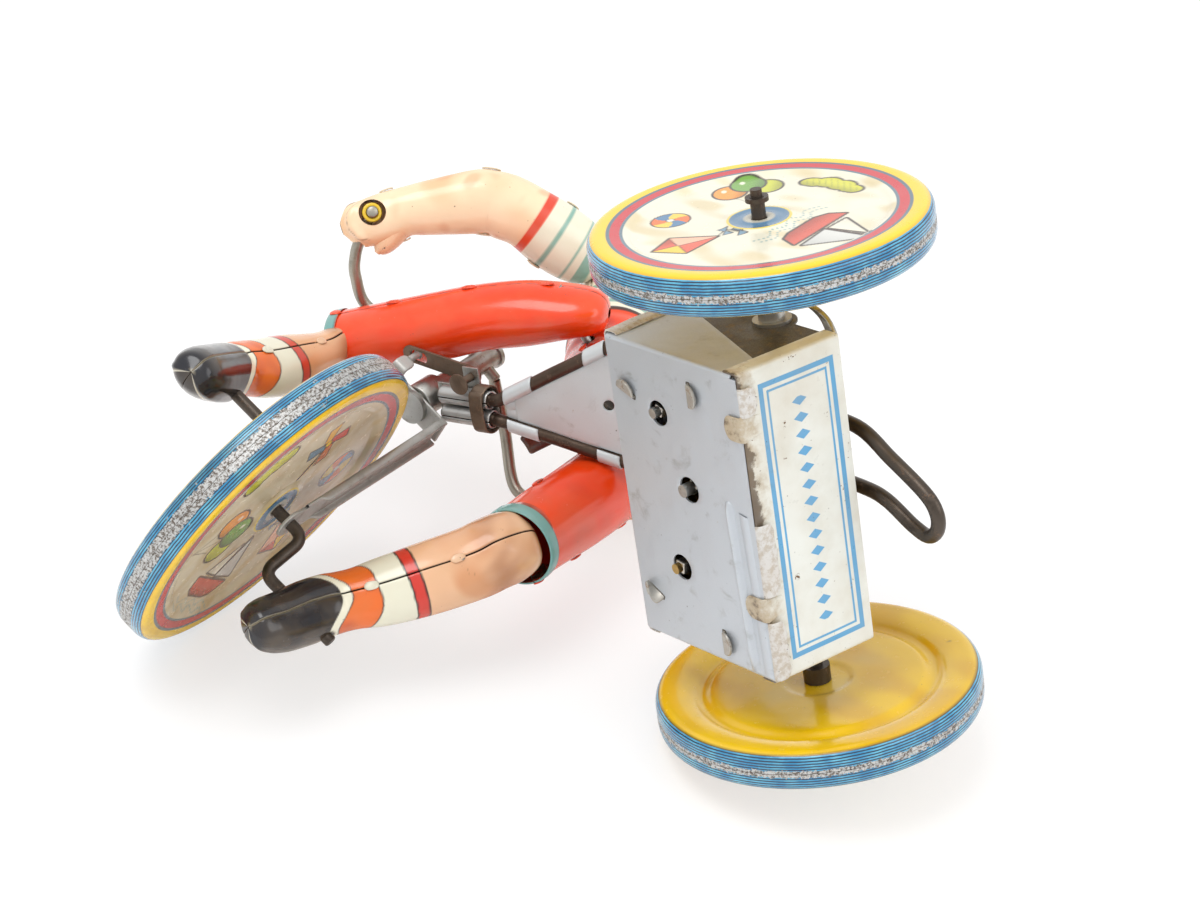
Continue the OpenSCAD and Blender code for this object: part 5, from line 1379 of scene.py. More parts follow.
def makeTray():
    s, tabs = Surface(), Surface()
    x0, x1, y, z0, t = box["edge"], box["x1"], box["y"], box["z0"], box["sheet"]
    bend = 1.0
    # bottom sheet in three fields, each round one hole
    for at, low, high, r in holes:
        low, high = max(low, bend - y), min(high, y - bend)
        outer, angles = boxPoints(at, (x0, low), (x1 - bend, high), 16)
        ringPlate(s, circlePoints(at, r, angles), outer, z0, z0 + t, motorPlace, steps=14, rim=False)
    # tabs of the tray, bent over the cream plate
    for c, wide, reach in trayTabs:
        path = [(x0 + 0.9, z0 + t / 2), (x0 - 0.2, z0 + t / 2 - 0.04)]
        for b in np.radians(np.linspace(10, 84, 6)):
            path.append((x0 - 0.2 - 0.95 * math.sin(b), z0 + t / 2 - 0.04 + 0.95 * (1 - math.cos(b))))
        lean = box["lean"] / box["height"]
        for f in np.linspace(0.2, 1, 12):
            h = f * (reach - 0.6)
            path.append((x0 - 1.16 - lean * h - 0.08 * math.sin(f * 6), z0 + 1.1 + h))
        path = np.array(path)
        k = np.linspace(0, 1, len(path))
        v = np.linspace(-1, 1, 25)
        less = np.interp(k, [0, 0.6, 0.8, 0.92, 1], [0, 0, 0.15, 0.7, 1.7])
        w = (wide - less)[:, None] * v[None] + 0.12 * np.sin(v[None] * 9 + c) * k[:, None]
        p = joined(path[:, None, 0], c + w, path[:, None, 1] + 0.1 * np.sin(v[None] * 7 + c) * k[:, None])
        thick(tabs, motorPlace(p), 0.5)
    # a wall with its bend, from the flat bottom up to its upper edge
    a = np.linspace(0, np.pi / 2, 8)
    r = bend - t / 2

    def wall(start, end, out, top):
        # start and end of the bend line on the bottom sheet, out its way, top the height along the line
        n = 40
        k = np.linspace(0, 1, n)
        line = start + k[:, None] * (end - start)
        rows = [np.column_stack([line - out * 0.06, np.full(n, z0 + t / 2)])]
        for b in a:
            rows.append(np.column_stack([line + out * r * math.sin(b),
                                         np.full(n, z0 + bend - r * math.cos(b))]))
        for f in np.linspace(0, 1, 10)[1:]:
            rows.append(np.column_stack([line + out * r, z0 + bend + f * (top(k) - z0 - bend)]))
        thick(s, motorPlace(np.swapaxes(np.array(rows), 0, 1)), t)

    def side(k):
        return np.interp(k, [0, 0.757, 0.89, 1], [z0 + 8, box["rim"] - 9, box["rim"] - 1.5, box["rim"]])
    for sy in (1, -1):
        wall(np.array([x0 + (2.2 if sy > 0 else 0), sy * (y - bend)]),
             np.array([x1 - bend, sy * (y - bend)]), np.array([0.0, sy]), side)
    wall(np.array([x1 - bend, y - bend]), np.array([x1 - bend, -(y - bend)]), np.array([1.0, 0]),
         lambda k: 0 * k + box["rim"])
    # rounded corner posts at the front
    for sy in (1, -1):
        n = 9
        b, e = np.meshgrid(np.linspace(0, np.pi / 2, n),
                           np.concatenate([np.linspace(0, np.pi / 2, n), [np.pi / 2] * 6]), indexing="ij")
        lift = np.concatenate([np.zeros(n), np.linspace(0, 1, 7)[1:]])[None, :] * (box["rim"] - z0 - bend)
        rr = bend * np.sin(e)
        p = np.stack([x1 - bend + rr * np.cos(b), sy * (y - bend + rr * np.sin(b)),
                      z0 + bend - bend * np.cos(e) + lift], -1)
        s.grid(motorPlace(p), flip=sy < 0)
    # the long bead pressed along the bottom: a low half round rib with tapering ends
    n = 110
    k = np.linspace(0, 1, n)
    mid = np.array([-9.9, 5.6]) + k[:, None] * np.array([-1.9, -41.4])
    wide = 1.55 * roundEnd(1 - k * 16, 2.2)
    h = 1.15 * np.sqrt(np.clip(1 - np.clip(1 - k * 12, 0, 1) ** 2.0, 0.0, 1))
    h = h * np.interp(k, [0.9, 1], [1, 0.35])
    f = np.linspace(-1, 1, 21)
    p = np.concatenate([mid[:, None] + wide[:, None, None] * f[None, :, None] * np.array([1.0, -0.046]),
                        (z0 + 0.02 - h[:, None] * np.cos(f * np.pi / 2)[None, :] ** 1.1)[..., None]], -1)
    s.grid(motorPlace(p), flip=True)
    # a low step beside the bead, and a strip folded round each front corner
    q = np.array([[-13.0, 3.6], [-13.5, 3.6], [-15.6, 3.2], [-16.0, 3.1]])
    rows = [np.column_stack([q + [-1.7 * e, -39 * e], z0 + np.array([0.02, -0.24, -0.24, 0.02])])
            for e in np.linspace(0, 1, 40)]
    s.grid(motorPlace(np.array(rows)), flip=True)
    zz = np.linspace(z0 + 1.0, box["rim"] + 0.6, 40)
    for sy in (1, -1):
        fx = np.array([x1 + 0.35, x1 + 0.3, x1 - 0.2, x1 - 1.2, x1 - 2.4, x1 - 3.4, x1 - 3.9])
        fy = np.array([-1.4, -0.4, 0.35, 0.45, 0.48, 0.42, 0.1])
        p = joined(fx, sy * (y + 0.12 + fy + 0.06 * np.sin(zz[:, None] * 0.6)), zz[:, None])
        thick(tabs, motorPlace(p), 0.4)
    s.build("tray_sheet", "chassis", galvanised, 40, "tin_grey", ["motor_tray"])
    tabs.build("tray_tabs", "chassis", tabTin, 40, "tin_grey")
    squareEnd("governor_square", "governor", arbors["a"], z0 + 0.5, 1.25, 20)
    squareEnd("winding_square", "winding_set", arbors["b"], z0 + 1.2, 1.4, 40)
    squareEnd("second_square", "second_wheel", arbors["c"], z0 + 0.1, 1.4, 10)


def makeSidePlates():
    # outline by angle: distance = the larger of the ear's radius and the nearest of the straight edges
    ear, bore, t = 5.6, 3.05, box["sheet"]
    x0, x1, low, high = box["x0"] + t, box["x1"] - t, box["z0"] + t, box["rim"]
    corners = np.array([(x0 + box["lean"], low), (x1, low), (x1, high), (x0, high)])
    a = np.unique(np.concatenate([np.linspace(-np.pi, np.pi, 180, endpoint=False),
                                  np.arctan2(corners[:, 1], corners[:, 0])]))
    way = np.stack([np.cos(a), np.sin(a)], -1)
    edge = np.roll(corners, -1, axis=0) - corners
    out = unit(np.stack([edge[:, 1], -edge[:, 0]], -1))
    facing = way @ out.T
    reach = np.where(facing > 1e-6, (out * corners).sum(-1) / np.maximum(facing, 1e-6), 1e6).min(axis=1)
    outline = way * np.maximum(reach, ear)[:, None]
    turned = np.array([[1, 0, 0], [0, 0, -1], [0, 1, 0]])
    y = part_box("side_plates")[1][1] * 1000
    s = Surface()
    for start in (y, t - y):
        ringPlate(s, way * bore, outline, 0, t, Place(motorPlace.r @ turned, motorPlace([0, start, 0])))
    # the side walls take the dark tin, far darker than the tray: partly painted shade inside the box
    s.build("side_walls", "chassis", darkTinAndShade, 40, "steel_dark", ["side_plates"])


def makeRearPlate():
    s = Surface()
    x, y, z0, t = box["x0"], box["y"], box["z0"], box["sheet"]

    # the plate leans a little: its foot lies nearer to the front than its upper edge
    def leaning(a, zz):
        return a + box["lean"] * (1 - (zz - z0) / box["height"])

    # one sheet: a flange on each side, its bend, and the slightly uneven plate between them
    bend = np.radians(np.linspace(0, 90, 9))
    end = [(0.7 - 0.7 * math.cos(k), y - 0.72 + 0.7 * math.sin(k)) for k in bend]
    end += [(f, y - 0.02) for f in (1.2, 2.6, 4.0)]
    path = [(f, -v) for f, v in end[::-1]] + [(0, v) for v in np.linspace(0.8 - y, y - 0.8, 90)] + end
    path = np.array(path)
    zz = np.linspace(z0 + 0.5, box["rim"] - 0.2, 40)
    v = path[:, 1:] + 0 * zz
    sag = 0.22 * np.sin(v * 0.11 + zz * 0.2) * np.sin((zz - z0) / box["height"] * math.pi)
    sag = sag * (1 - (v / y) ** 8)
    thick(s, motorPlace(np.stack([leaning(x + t / 2 + path[:, :1] - sag * 0.5, zz), v, zz + 0 * v], -1)), t)
    # two tabs folded over the tray's bottom, with round ends
    tabs = Surface()
    for c, wide, reach in plateTabs:
        path = [(x + 0.1, z0 + 4.6), (x + 0.02, z0 + 2.2), (x - 0.12, z0 + 0.7)]
        for b in np.radians(np.linspace(10, 90, 6)):
            path.append((x + 0.75 - 0.87 * math.cos(b), z0 + 0.45 - 0.9 * math.sin(b)))
        for f in np.linspace(0.15, 1, 12):
            path.append((x + 0.75 + f * reach, z0 - 0.44 - 0.06 * math.sin(f * 5)))
        path = np.array(path)
        k = np.linspace(0, 1, len(path))
        v = np.linspace(-1, 1, 21)
        w = wide * roundEnd((k - 0.7) / 0.31, 2.4) * np.interp(k, [0, 0.12, 0.3], [0.75, 1.06, 1])
        p = joined(path[:, None, 0], c + w[:, None] * v[None], path[:, None, 1])
        p[..., 0] += box["lean"] * (1 - np.clip((p[..., 2] - z0) / box["height"], 0, 1))
        thick(tabs, motorPlace(p), 0.5)
    tabs.build("rear_tabs", "chassis", creamTabTin, 40, "tin_cream")
    s.build("rear_sheet", "chassis", creamTin, 40, "tin_cream", ["rear_plate"])


def makeLugs():
    # lugs that come through slots in the bottom, bent over or twisted, with half round ends
    s = Surface()
    z = box["z0"]
    for x, y, a, kind in lugs:
        u = np.array([math.cos(math.radians(a)), math.sin(math.radians(a)), 0])
        w = np.array([-u[1], u[0], 0])
        slot = np.array([x, y, z])
        f = np.linspace(-1, 1, 15)
        h = np.linspace(0, 1, 14)
        if kind == "bent":
            reach = np.where(h < 0.3, 0.25 * (h / 0.3) ** 2, 0.25 + (h - 0.3) / 0.7 * 2.7)
            drop = np.where(h < 0.3, 0.2 - 0.85 * h / 0.3, -0.65 - 0.5 * (h - 0.3) / 0.7)
            middle = slot + reach[:, None] * w + drop[:, None] * up
            way = (2.5 * roundEnd((h - 0.35) / 0.66, 2.2))[:, None] * u
        else:
            twist = np.radians(48) * h[:, None]
            middle = slot - (2.5 * h[:, None] - 0.3) * up
            way = (2.5 * roundEnd((h - 0.6) / 0.41, 2.4))[:, None] * (np.cos(twist) * u + np.sin(twist) * w)
        p = middle[:, None] + f[None, :, None] * way[:, None]
        thick(s, motorPlace(p), 0.7)
    s.build("bent_lugs", "chassis", lugSteel, 40, "steel", ["clinch_lugs"])
    # shallow dark sheets round the lugs: painted shade of the slots they come through
    d = Surface()
    for x, y, a, kind in lugs:
        u = np.array([math.cos(math.radians(a)), math.sin(math.radians(a))])
        w = np.array([-u[1], u[0]])
        t = circle(32)
        across, along = [np.sign(v) * np.abs(v) ** 0.35 for v in (np.cos(t), np.sin(t))]
        rows = []
        for k, zz in ((0.02, z - 0.012), (0.5, z - 0.012), (1, z - 0.012), (1.06, z + 0.02)):
            q = np.array([x, y]) - 0.1 * w + k * (across[:, None] * u * 3.1 + along[:, None] * w * 0.75)
            rows.append(np.column_stack([q, np.full(32, zz)]))
        d.grid(motorPlace(np.array(rows)), loopV=True)
    d.build("lug_slot_shade", "chassis", darkTinAndShade, 40, "steel_dark")


# Frame between the motor box and the head
rods = {"x0": 33.0, "z": 82.4, "slope": 3.56, "endY": 20.8, "headY": 2.5, "run": 42.7, "r": 1.6}
rodPlace = Place(turn([0, 1, 0], -rods["slope"]), [rods["x0"], 0, rods["z"]])
head = {"sleeve": 59.5, "sleeveR": 2.0, "link": (-15.2, 7.0)}
strapTin = metal("browned strap", (0.17, 0.12, 0.085), rough=0.45, stain=0.45, tint=(0.16, 0.09, 0.05),
                 metallic=0.7)
forkTin = metal("fork tinplate", (0.46, 0.45, 0.425), rough=0.42, stain=0.36, tint=(0.28, 0.22, 0.16),
                metallic=0.5,
                brushed=(1, 1, 0.2))


def rodY(x):
    return rods["endY"] - (rods["endY"] - rods["headY"]) * np.asarray(x) / rods["run"]


def makeRods():
    # each wire runs along its side of the plate, then bends at the knee into its sleeve
    for side, k in (("left", 1), ("right", -1)):
        rear = np.array([rods["x0"], k * rods["endY"], rods["z"]])
        y = k * rods["headY"]
        knee = rodPlace([rods["run"], y, 0])
        mid, front = [headPlace([x, y, head["sleeve"]]) for x in (-22.4, -7)]
        way, on = unit(knee - rear), unit(mid - knee)
        before, after = knee - 2.4 * way, knee + 2.4 * on
        line = np.vstack([np.linspace(rear, before, 30),
                          smoothLine([before, knee - 0.6 * way + 0.4 * on, after], 12)[1:],
                          np.linspace(after, mid, 20)[1:], np.linspace(mid, front, 16)[1:]])
        line = line + 0.12 * np.sin(np.arange(len(line)) * 0.7)[:, None] * np.array([0, 0, 1.0])
        s = Surface()
        tube(s, line, rods["r"], 24, bevel=0.5)
        s.build("rod_%s_wire" % side, "chassis", brownSteel, 50, "rod_brown", ["frame_rod_" + side])


def rolled(s, x, l, k, inner):
    # a tab rolled round a rod: a flat root on the plate, then a turn round the wire, starting below
    a = np.radians(np.linspace(200, -140, 30))
    r = rods["r"] + 0.28
    rows = []
    for f in np.linspace(0, 1, 14):
        xx = x + f * l
        y0 = k * rodY(xx)
        ring = np.stack([np.full(30, xx), y0 - k * r * np.cos(np.pi - a), r * np.sin(a)], -1)
        root = np.array([[xx, y0 - k * (r + inner), 0.05], [xx, y0 - k * (r + inner * 0.4), -0.05]])
        rows.append(np.vstack([root, ring[2:]]))
    thick(s, rodPlace(np.array(rows)), 0.45)


def makeBackbone():
    s = Surface()
    # top plate from the front edge back to the bend, then down to the box; the round hole is kept open
    v = np.linspace(-1, 1, 25)

    def strip(x0, x1, n):
        x = np.linspace(x0, x1, n)[:, None]
        return joined(x, (rodY(x) - 1.95) * v, 0.1 * np.cos(v * 3) * np.sin(x * 0.35))
    front = strip(38, 18.5, 24)
    rearRows = [rodPlace(r) for r in strip(11.5, 3.4, 10)]
    zs = [79, 76, 70, 64, 58, 53, 50.5, 48.6, 46.6, 44.8, 43.2, 41.8, 40.6, 39.9]
    xs = np.interp(zs, [39.8, 41, 44.7, 46, 48.5, 50, 83], [36.84, 35.8, 32.35, 32.5, 33.1, 33.4, 36.65])
    for z, x in zip(zs, xs):
        wide = 8 + 9.4 * (z - 38) / 46
        rearRows.append(np.stack([np.full(25, x), wide * v, np.full(25, z)], -1))
    corner = 0.5 * (rearRows[9] + rearRows[10]) + np.array([-0.35, 0, 0.5])
    rearRows.insert(10, corner)
    thick(s, rodPlace(front), 0.7, close=(True, False))
    thick(s, np.array(rearRows), 0.7, close=(False, True))
    # the field with the hole
    outer = []
    for a, b in (((18.5, -1), (18.5, 1)), ((18.5, 1), (11.5, 1)), ((11.5, 1), (11.5, -1)),
                 ((11.5, -1), (18.5, -1))):
        for f in np.linspace(0, 1, 14, endpoint=False):
            x, y = a[0] + f * (b[0] - a[0]), a[1] + f * (b[1] - a[1])
            outer.append([x, y * (rodY(x) - 1.95)])
    outer = np.array(outer)
    ringPlate(s, circlePoints((15, 0), 1.4, np.arctan2(outer[:, 1], outer[:, 0] - 15)), outer, -0.35, 0.35,
              rodPlace, steps=12, rim=False)
    s.build("backbone_sheet", "chassis", palePlate, 40, "tin_grey", ["backbone_plate"])
    t = Surface()
    for k in (1, -1):
        for x, l in ((33.4, 7.0), (14.2, 5.0), (2, 3.4)):
            rolled(t, x, l, k, 2.2)
    t.build("backbone_rolls", "chassis", palePlate, 50, "steel")


def makeHead():
    s = Surface()
    a = np.radians(np.linspace(12, 348, 40))
    for k in (1, -1):
        # sleeves rolled from sheet with an open slit below
        x, r = np.linspace(-22, -7.6, 20)[:, None], head["sleeveR"]
        p = joined(x, k * (rods["headY"] + r * np.sin(a)), head["sleeve"] - r * np.cos(a))
        thick(s, headPlace(p), 0.55)
    s.build("sleeves_rolled", "chassis", brightTin, 50, "steel", ["head_sleeves"])
    s = Surface()
    # strap: an oval band wrapped round both sleeves with overlapping ends
    f = np.linspace(0, 1, 70)
    t = 2 * np.pi * f * 1.06 - 1.2
    grow = 1 + 0.09 * f
    y = (rods["headY"] * np.sign(np.cos(t)) * np.clip(np.abs(np.cos(t)) * 2.2, 0, 1)
         + 3.15 * np.cos(t)) * grow
    z = 3.3 * np.sin(t) * grow + 0.45
    x = np.linspace(-21.6, -18, 9)
    p = joined(x[None, :], y[:, None], head["sleeve"] + z[:, None])
    thick(s, headPlace(p), 0.5)
    s.build("strap_band", "chassis", strapTin, 50, "rod_brown", ["head_strap"])
    s = Surface()
    # collar: a rolled bearing tube and its plate with rounded ends
    q = [(3.06, 0.72), (3.3, 0.7), (4.2, 0.7), (4.4, 0.9), (4.4, 8.5), (4.25, 8.68), (3.3, 8.7),
         (3.06, 8.6)]
    p = lathe(q, 72)
    p[..., 2] += fork["crown"]
    s.grid(headPlace(p), loopU=True, loopV=True, flip=True)
    x = np.linspace(-21.8, -4.2, 26)
    y = np.linspace(-4, 4, 13)
    p = joined(x[:, None], y[None] * np.interp(x, [-21.8, -21, -19.8], [0.75, 0.95, 1])[:, None],
               head["sleeve"] + 2.66)
    thick(s, headPlace(p), 0.7)
    outer, angles = boxPoints(head["link"], (-17.6, 3.8), (-12.8, 9.4), 10)
    ringPlate(s, circlePoints(head["link"], 1.02, angles), outer, head["sleeve"] + 2.31,
              head["sleeve"] + 3.01, headPlace, steps=4)
    s.build("collar_clip", "chassis", dullSteel, 50, "steel", ["head_collar"])
    s = Surface()
    # stop link: a slotted flat link on a domed rivet, pointing at the fork's ear
    x, y = head["link"]
    ear = turn(up, toy["steer"]) @ [fork["ear"], fork["inner"] + 0.4, 0]
    linkTurn = math.degrees(math.atan2(ear[1] - y, ear[0] - x))
    linkPlace = Place(headPlace.r @ turn(up, linkTurn), headPlace([x, y, head["sleeve"]]))
    t = circle(64)
    rim = np.stack([np.where(np.cos(t) > 0, 19.5, 0) + 2.2 * np.cos(t), 2.2 * np.sin(t)], -1)
    slot = np.stack([np.where(np.cos(t) > 0, 18.0, 15.6) + 1.35 * np.cos(t), 1.45 * np.sin(t)], -1)
    ringPlate(s, slot, rim, 3.02, 3.72, linkPlace, steps=8)
    dome = lathe([(0.02, -3.35), (1.2, -3.3), (2.2, -3.1), (2.7, -2.8), (2.7, -2.5), (1.0, -2.48),
                  (1.0, 3.7), (1.55, 3.75), (1.5, 4.1), (0.9, 4.35), (0.02, 4.4)], 40)
    s.grid(linkPlace(dome), loopU=True, flip=True)
    s.build("stop_link_flat", "chassis", strapTin, 40, "rod_brown", ["stop_link"])


# Fork, handlebar and crank
def makeFork():
    s = Surface()
    inner, crown, t = fork["inner"], fork["crown"], fork["sheet"]
    for k in (1, -1):
        # leg: a channel of sheet whose flanges start above the eye
        h = np.concatenate([np.linspace(4.6, 9, 8), np.linspace(9.6, 12, 5),
                            np.linspace(13, crown - 1.3, 34)])
        wide = 3.5 + 0.7 * h / crown
        lift = 0.15 + ramp(h, 8.6, 11.5) * 1.35
        f = np.linspace(-1, 1, 27)
        rows = []
        for z, w, l in zip(h, wide, lift):
            flat = np.clip(np.abs(f) * 1.32, 0, 1)
            rise = np.clip(np.abs(f) * 1.32 - 1, 0, None) / 0.32
            b = np.minimum(rise * 2, 1)
            x = np.sign(f) * (w * flat - 0.35 + 0.35 * np.sin(b * np.pi / 2) * (flat >= 1)
                              + 0.35 * (flat < 1) * flat)
            y = inner + 0.4 + l * (0.25 * (1 - np.cos(b * np.pi / 2))
                                   + np.clip(rise - 0.2, 0, 1)) * (flat >= 1)
            rows.append(np.stack([x, k * y, np.full(27, z)], -1))
        thick(s, forkPlace(np.array(rows)[:, ::-1] if k > 0 else np.array(rows)), t, close=(False, True))
        # lower eye round the crank wire, with a straight upper edge
        a = circle(56)
        outer = circlePoints((0, 0), 3.9, a)
        upper = outer[:, 1] > 2.2
        outer[upper] = joined(np.clip(outer[upper, 0] * 1.25, -3.03, 3.03), 4.7)
        eye = Place(forkPlace.r @ turn([1, 0, 0], 90), forkPlace([0, inner + t if k > 0 else -inner, 0]))
        ringPlate(s, circlePoints((0, 0), axle["frontBore"], a), outer, 0, t, eye, steps=6)
    # crown plate over the wheel, its bends into the legs, and the ear bent up at its left end
    y = np.linspace(-inner - 0.4 - 1.2, inner + 0.4 + 1.2, 30)
    x = np.linspace(-3.4, 3.4, 11)
    z = crown - 0.4 + 0.12 * np.cos(y * 0.33)
    p = joined(x[None, :], y[:, None], z[:, None])
    thick(s, forkPlace(p), t)
    for k in (1, -1):
        a = np.linspace(0, np.pi / 2, 7)
        yy = k * (inner - 0.4 + 0.8 * np.sin(a))
        zz = crown - 1.2 + 0.8 * np.cos(a)
        p = joined(np.linspace(-3.4, 3.4, 9)[None, :], yy[:, None], zz[:, None])
        thick(s, forkPlace(p[::-1] if k > 0 else p), t)
    path = np.array([[-3.0, 0], [-4.6, 0], [-5.6, 0.1], [-6.1, 0.5], [-6.2, 1.2], [-6.2, 2.4], [-6.2, 3.2],
                     [-6.2, 3.9]])
    path = smoothLine(path, 20)
    v = np.linspace(-1, 1, 9)
    wide = np.interp(np.linspace(0, 1, 20), [0, 0.8, 0.93, 1], [1.65, 1.65, 1.45, 0.9])
    p = joined(path[:, None, 0], inner + 0.25 + wide[:, None] * v[None], crown - 0.4 + path[:, None, 1])
    thick(s, forkPlace(p), t)
    rows = [(0.02, 3.3), (0.9, 3.3), (0.9, 6.9), (1.25, 6.95), (1.2, 7.2), (0.7, 7.4), (0.02, 7.42)]
    stud = lathe(rows, 28) + np.array([fork["ear"], inner + 0.4, crown])
    s.grid(forkPlace(stud), loopU=True, flip=True)
    s.build("fork_sheet", "steering", forkTin, 40, "tin_grey", ["fork"])


def makeBars():
    s = Surface()
    q = smoothLine(barLine, 120)
    both = np.vstack([(q * [1, -1, 1])[::-1], q])
    both = both[np.concatenate([[True], np.linalg.norm(np.diff(both, axis=0), axis=1) > 0.05])]
    tube(s, barPlace(smoothLine(both, 320)), 1.5, 24, bevel=0.45, first=up)
    s.build("handlebar_wire", "steering", greyWire, 50, "steel", ["handlebar"])
    s = Surface()
    for k in (1, -1):
        a, b = barLine[7] * [1, k, 1], barLine[8] * [1, k, 1]
        d = unit(b - a)
        w = unit(np.cross(d, [0, 0, 1]))
        ringAt = Place(np.column_stack([w, np.cross(d, w), d]), b)
        # a turned collar, rounded outside, with a bore for the wire
        across, along = [np.sign(x) * np.abs(x) ** 0.7 for x in (np.cos(circle(24)), np.sin(circle(24)))]
        prof = joined(1.98 + 0.5 * across, -1.1 + 0.62 * along)
        s.grid(barPlace(ringAt(lathe(prof, 56))), loopU=True, loopV=True, flip=True,
               paint=linear(226, 188, 30))
    s.build("hand_collars", "steering", printedWorn, 50, "wheel_yellow", ["hand_rings"])


def makeCrank():
    # a wire through six corners, each rounded by q = (1 - f)^2 start + 2 f (1 - f) corner + f^2 end
    s = Surface()
    inner, outer, bend = [0, crank["inner"], 0], [0, crank["outer"], 0], crank["bend"]
    corners = np.array([crankArm * 0 + inner, crankArm + inner, crankArm + outer])
    corners = np.vstack([-corners[::-1], corners])
    line = [corners[0]]
    for i in range(1, 5):
        u, v = unit(corners[i] - corners[i - 1]), unit(corners[i + 1] - corners[i])
        start, end = corners[i] - bend * u, corners[i] + bend * v
        n = max(int(np.linalg.norm(start - line[-1]) / 0.8), 2)
        line += list(np.linspace(line[-1], start, n)[1:])
        f = np.linspace(0, 1, 12)[1:, None]
        line += list((1 - f) ** 2 * start + 2 * f * (1 - f) * corners[i] + f ** 2 * end)
    line += list(np.linspace(line[-1], corners[5], 20)[1:])
    tube(s, forkPlace(np.array(line)), crank["wire"], 24, bevel=0.35)
    s.build("crank_wire", "crank_set", darkWire, 50, "steel_dark", ["crank"])


def makeKey():
    # the key is a closed loop of wire in the arbor's axes; the corner hook a narrow strip along a curve
    s = Surface()
    at = Place(motorPlace.r, motorPlace([*arbors["b"], 7.0]))
    loop = [[-3.4, 7.4, 0], [-20, 7.4, 0], [-30, 2.2, 0], [-39.8, -3.6, 0], [-42.9, -7.6, 0],
            [-42.6, -11.6, 0], [-39.6, -14, 0], [-35, -12.8, 0], [-27, -8.6, 0], [-19.5, -7.4, 0],
            [-3.4, -7.4, 0], [-1.7, -7.1, 0], [-0.5, -6, 0], [0, -4.4, 0], [0, 4.4, 0], [-0.5, 6, 0],
            [-1.7, 7.1, 0]]
    line = smoothLine(loop, 260, loop=True)
    tube(s, at(line), 1.65, 24, loop=True, first=at.r[:, 2])
    s.build("key_wire", "winding_set", darkWire, 50, "steel_dark", ["winding_key"])
    s = Surface()
    hook = smoothLine([[-18.1, 29, -3], [-17.2, 33.4, 1.9], [-14.6, 37.6, 3.3], [-11, 40.2, 3.4],
                       [-6.5, 41, 3.2]], 50)
    f = np.linspace(-1, 1, 7)
    p = hook[:, None] + 1.035 * f[None, :, None] * np.array([1.0, 0, 0])
    thick(s, motorPlace(p), 1.2)
    s.build("corner_catch", "chassis", dullSteel, 50, "steel", ["corner_hook"])


def dressSolids():
    # finishes for the solids whose shape is kept
    kept = (
        (brass, "movement_plate axle_pinion great_wheel crown_wheel second_arbor"),
        (dullSteel, "pillars axle_bush_left axle_bush_right winding_arbor governor_arbor governor_fan"),
        (dullSteel, "steering_stem hip_pin_left hip_pin_right"),
        (darkTinAndShade, "mainspring saddle_post"),
        (darkWire, "rear_axle axle_collars"),
    )
    for finish, names in kept:
        for name in names.split():
            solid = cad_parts[name]
            solid.data.materials.clear()
            solid.data.materials.append(finish)


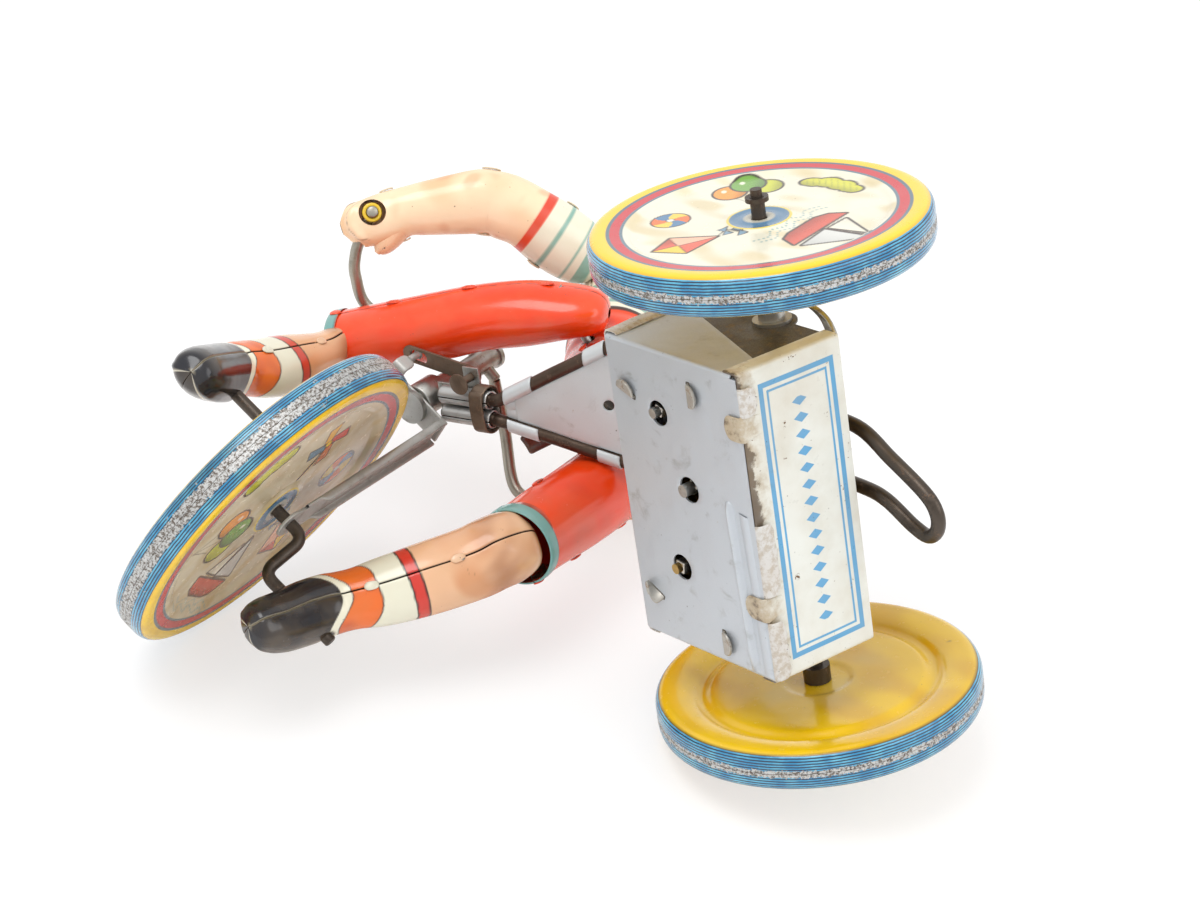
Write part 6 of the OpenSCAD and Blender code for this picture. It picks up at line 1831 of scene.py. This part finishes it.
def makeFloor():
    # a large square under the lying toy, white from its upper side and clear from below
    x = unit(np.cross(table["up"], up))
    y = np.cross(table["up"], x)
    m = bpy.data.meshes.new("floor")
    at = table["up"] * table["height"]
    v = [(at + table["size"] * (a * x + b * y)) * mm for a, b in ((-1, -1), (1, -1), (1, 1), (-1, 1))]
    m.from_pydata([tuple(q) for q in v], [], [(0, 1, 2, 3)])
    o = bpy.data.objects.new("floor", m)
    bpy.context.scene.collection.objects.link(o)
    mat = bpy.data.materials.new("white table")
    mat.use_nodes = True
    t = mat.node_tree
    t.nodes.clear()
    net = Net(t)
    end = t.nodes.new("ShaderNodeOutputMaterial")
    shade = net.node("BsdfPrincipled", {"Base Color": (0.96, 0.96, 0.962, 1), "Roughness": 0.55,
                                        "Specular IOR Level": 0.15})
    clear = net.node("BsdfTransparent")
    back = net.node("NewGeometry").outputs["Backfacing"]
    white = net.node("Emission", {"Color": (1, 1, 1, 1), "Strength": 1.0})
    seen = net.times(net.node("LightPath").outputs["Is Camera Ray"], 0.62)
    shade = net.node("MixShader", {0: seen, 1: shade.outputs[0], 2: white.outputs[0]})
    mix = net.node("MixShader", {0: back, 1: shade.outputs[0], 2: clear.outputs[0]})
    t.links.new(mix.outputs[0], end.inputs[0])
    m.materials.append(mat)
    m.update()
    if np.array(m.polygons[0].normal) @ table["up"] < 0:
        m.flip_normals()


def makeLight():
    w = bpy.data.worlds.new("studio")
    bpy.context.scene.world = w
    w.use_nodes = True
    t = w.node_tree
    t.nodes.clear()
    net = Net(t)
    out = t.nodes.new("ShaderNodeOutputWorld")
    path = net.node("LightPath")
    plain = net.node("Background", {"Color": (1, 1, 1, 1), "Strength": 0.95})
    seen = net.node("Background", {"Color": (1, 1, 1, 1), "Strength": 1.0})
    see = net.math("MAXIMUM", path.outputs["Is Camera Ray"], path.outputs["Is Glossy Ray"])
    mix = net.node("MixShader", {0: see, 1: plain.outputs[0], 2: seen.outputs[0]})
    t.links.new(mix.outputs[0], out.inputs[0])
    # lamps in metres from the toy's middle: two by the table and the camera, one above the standing toy
    middle = np.array([60.0, 0, 60])
    target = middle * mm
    upWay, right = table["up"], np.array(cam["right"])
    toCam = unit(np.array(cam["at"]) - middle)
    softLight("key light", target + (1.15 * upWay - 0.35 * right + 0.25 * toCam) * 0.9, target, 0.75, 6.5)
    softLight("fill light", target + 0.45 * upWay + 0.9 * right + 0.5 * toCam, target, 0.9, 3.4)
    softLight("upper light", target + np.array([0.18, -0.27, 0.9]), target, 0.8, 1.2)


def main():
    makeCamera()
    makeLight()
    makeFloor()
    dressSolids()
    print("stage ready")
    for side in ("left", "right"):
        makeThigh(side)
        makeLeg(side)
        makeArm(side)
    print("limbs made")
    makeBody()
    makeSaddle()
    print("rider made")
    makeWheels()
    print("wheels made")
    makeTray()
    makeSidePlates()
    makeRearPlate()
    makeLugs()
    makeRods()
    makeBackbone()
    makeHead()
    makeFork()
    makeBars()
    makeCrank()
    makeKey()
    print("frame made")
    bpy.context.scene.view_settings.view_transform = "Standard"


main()
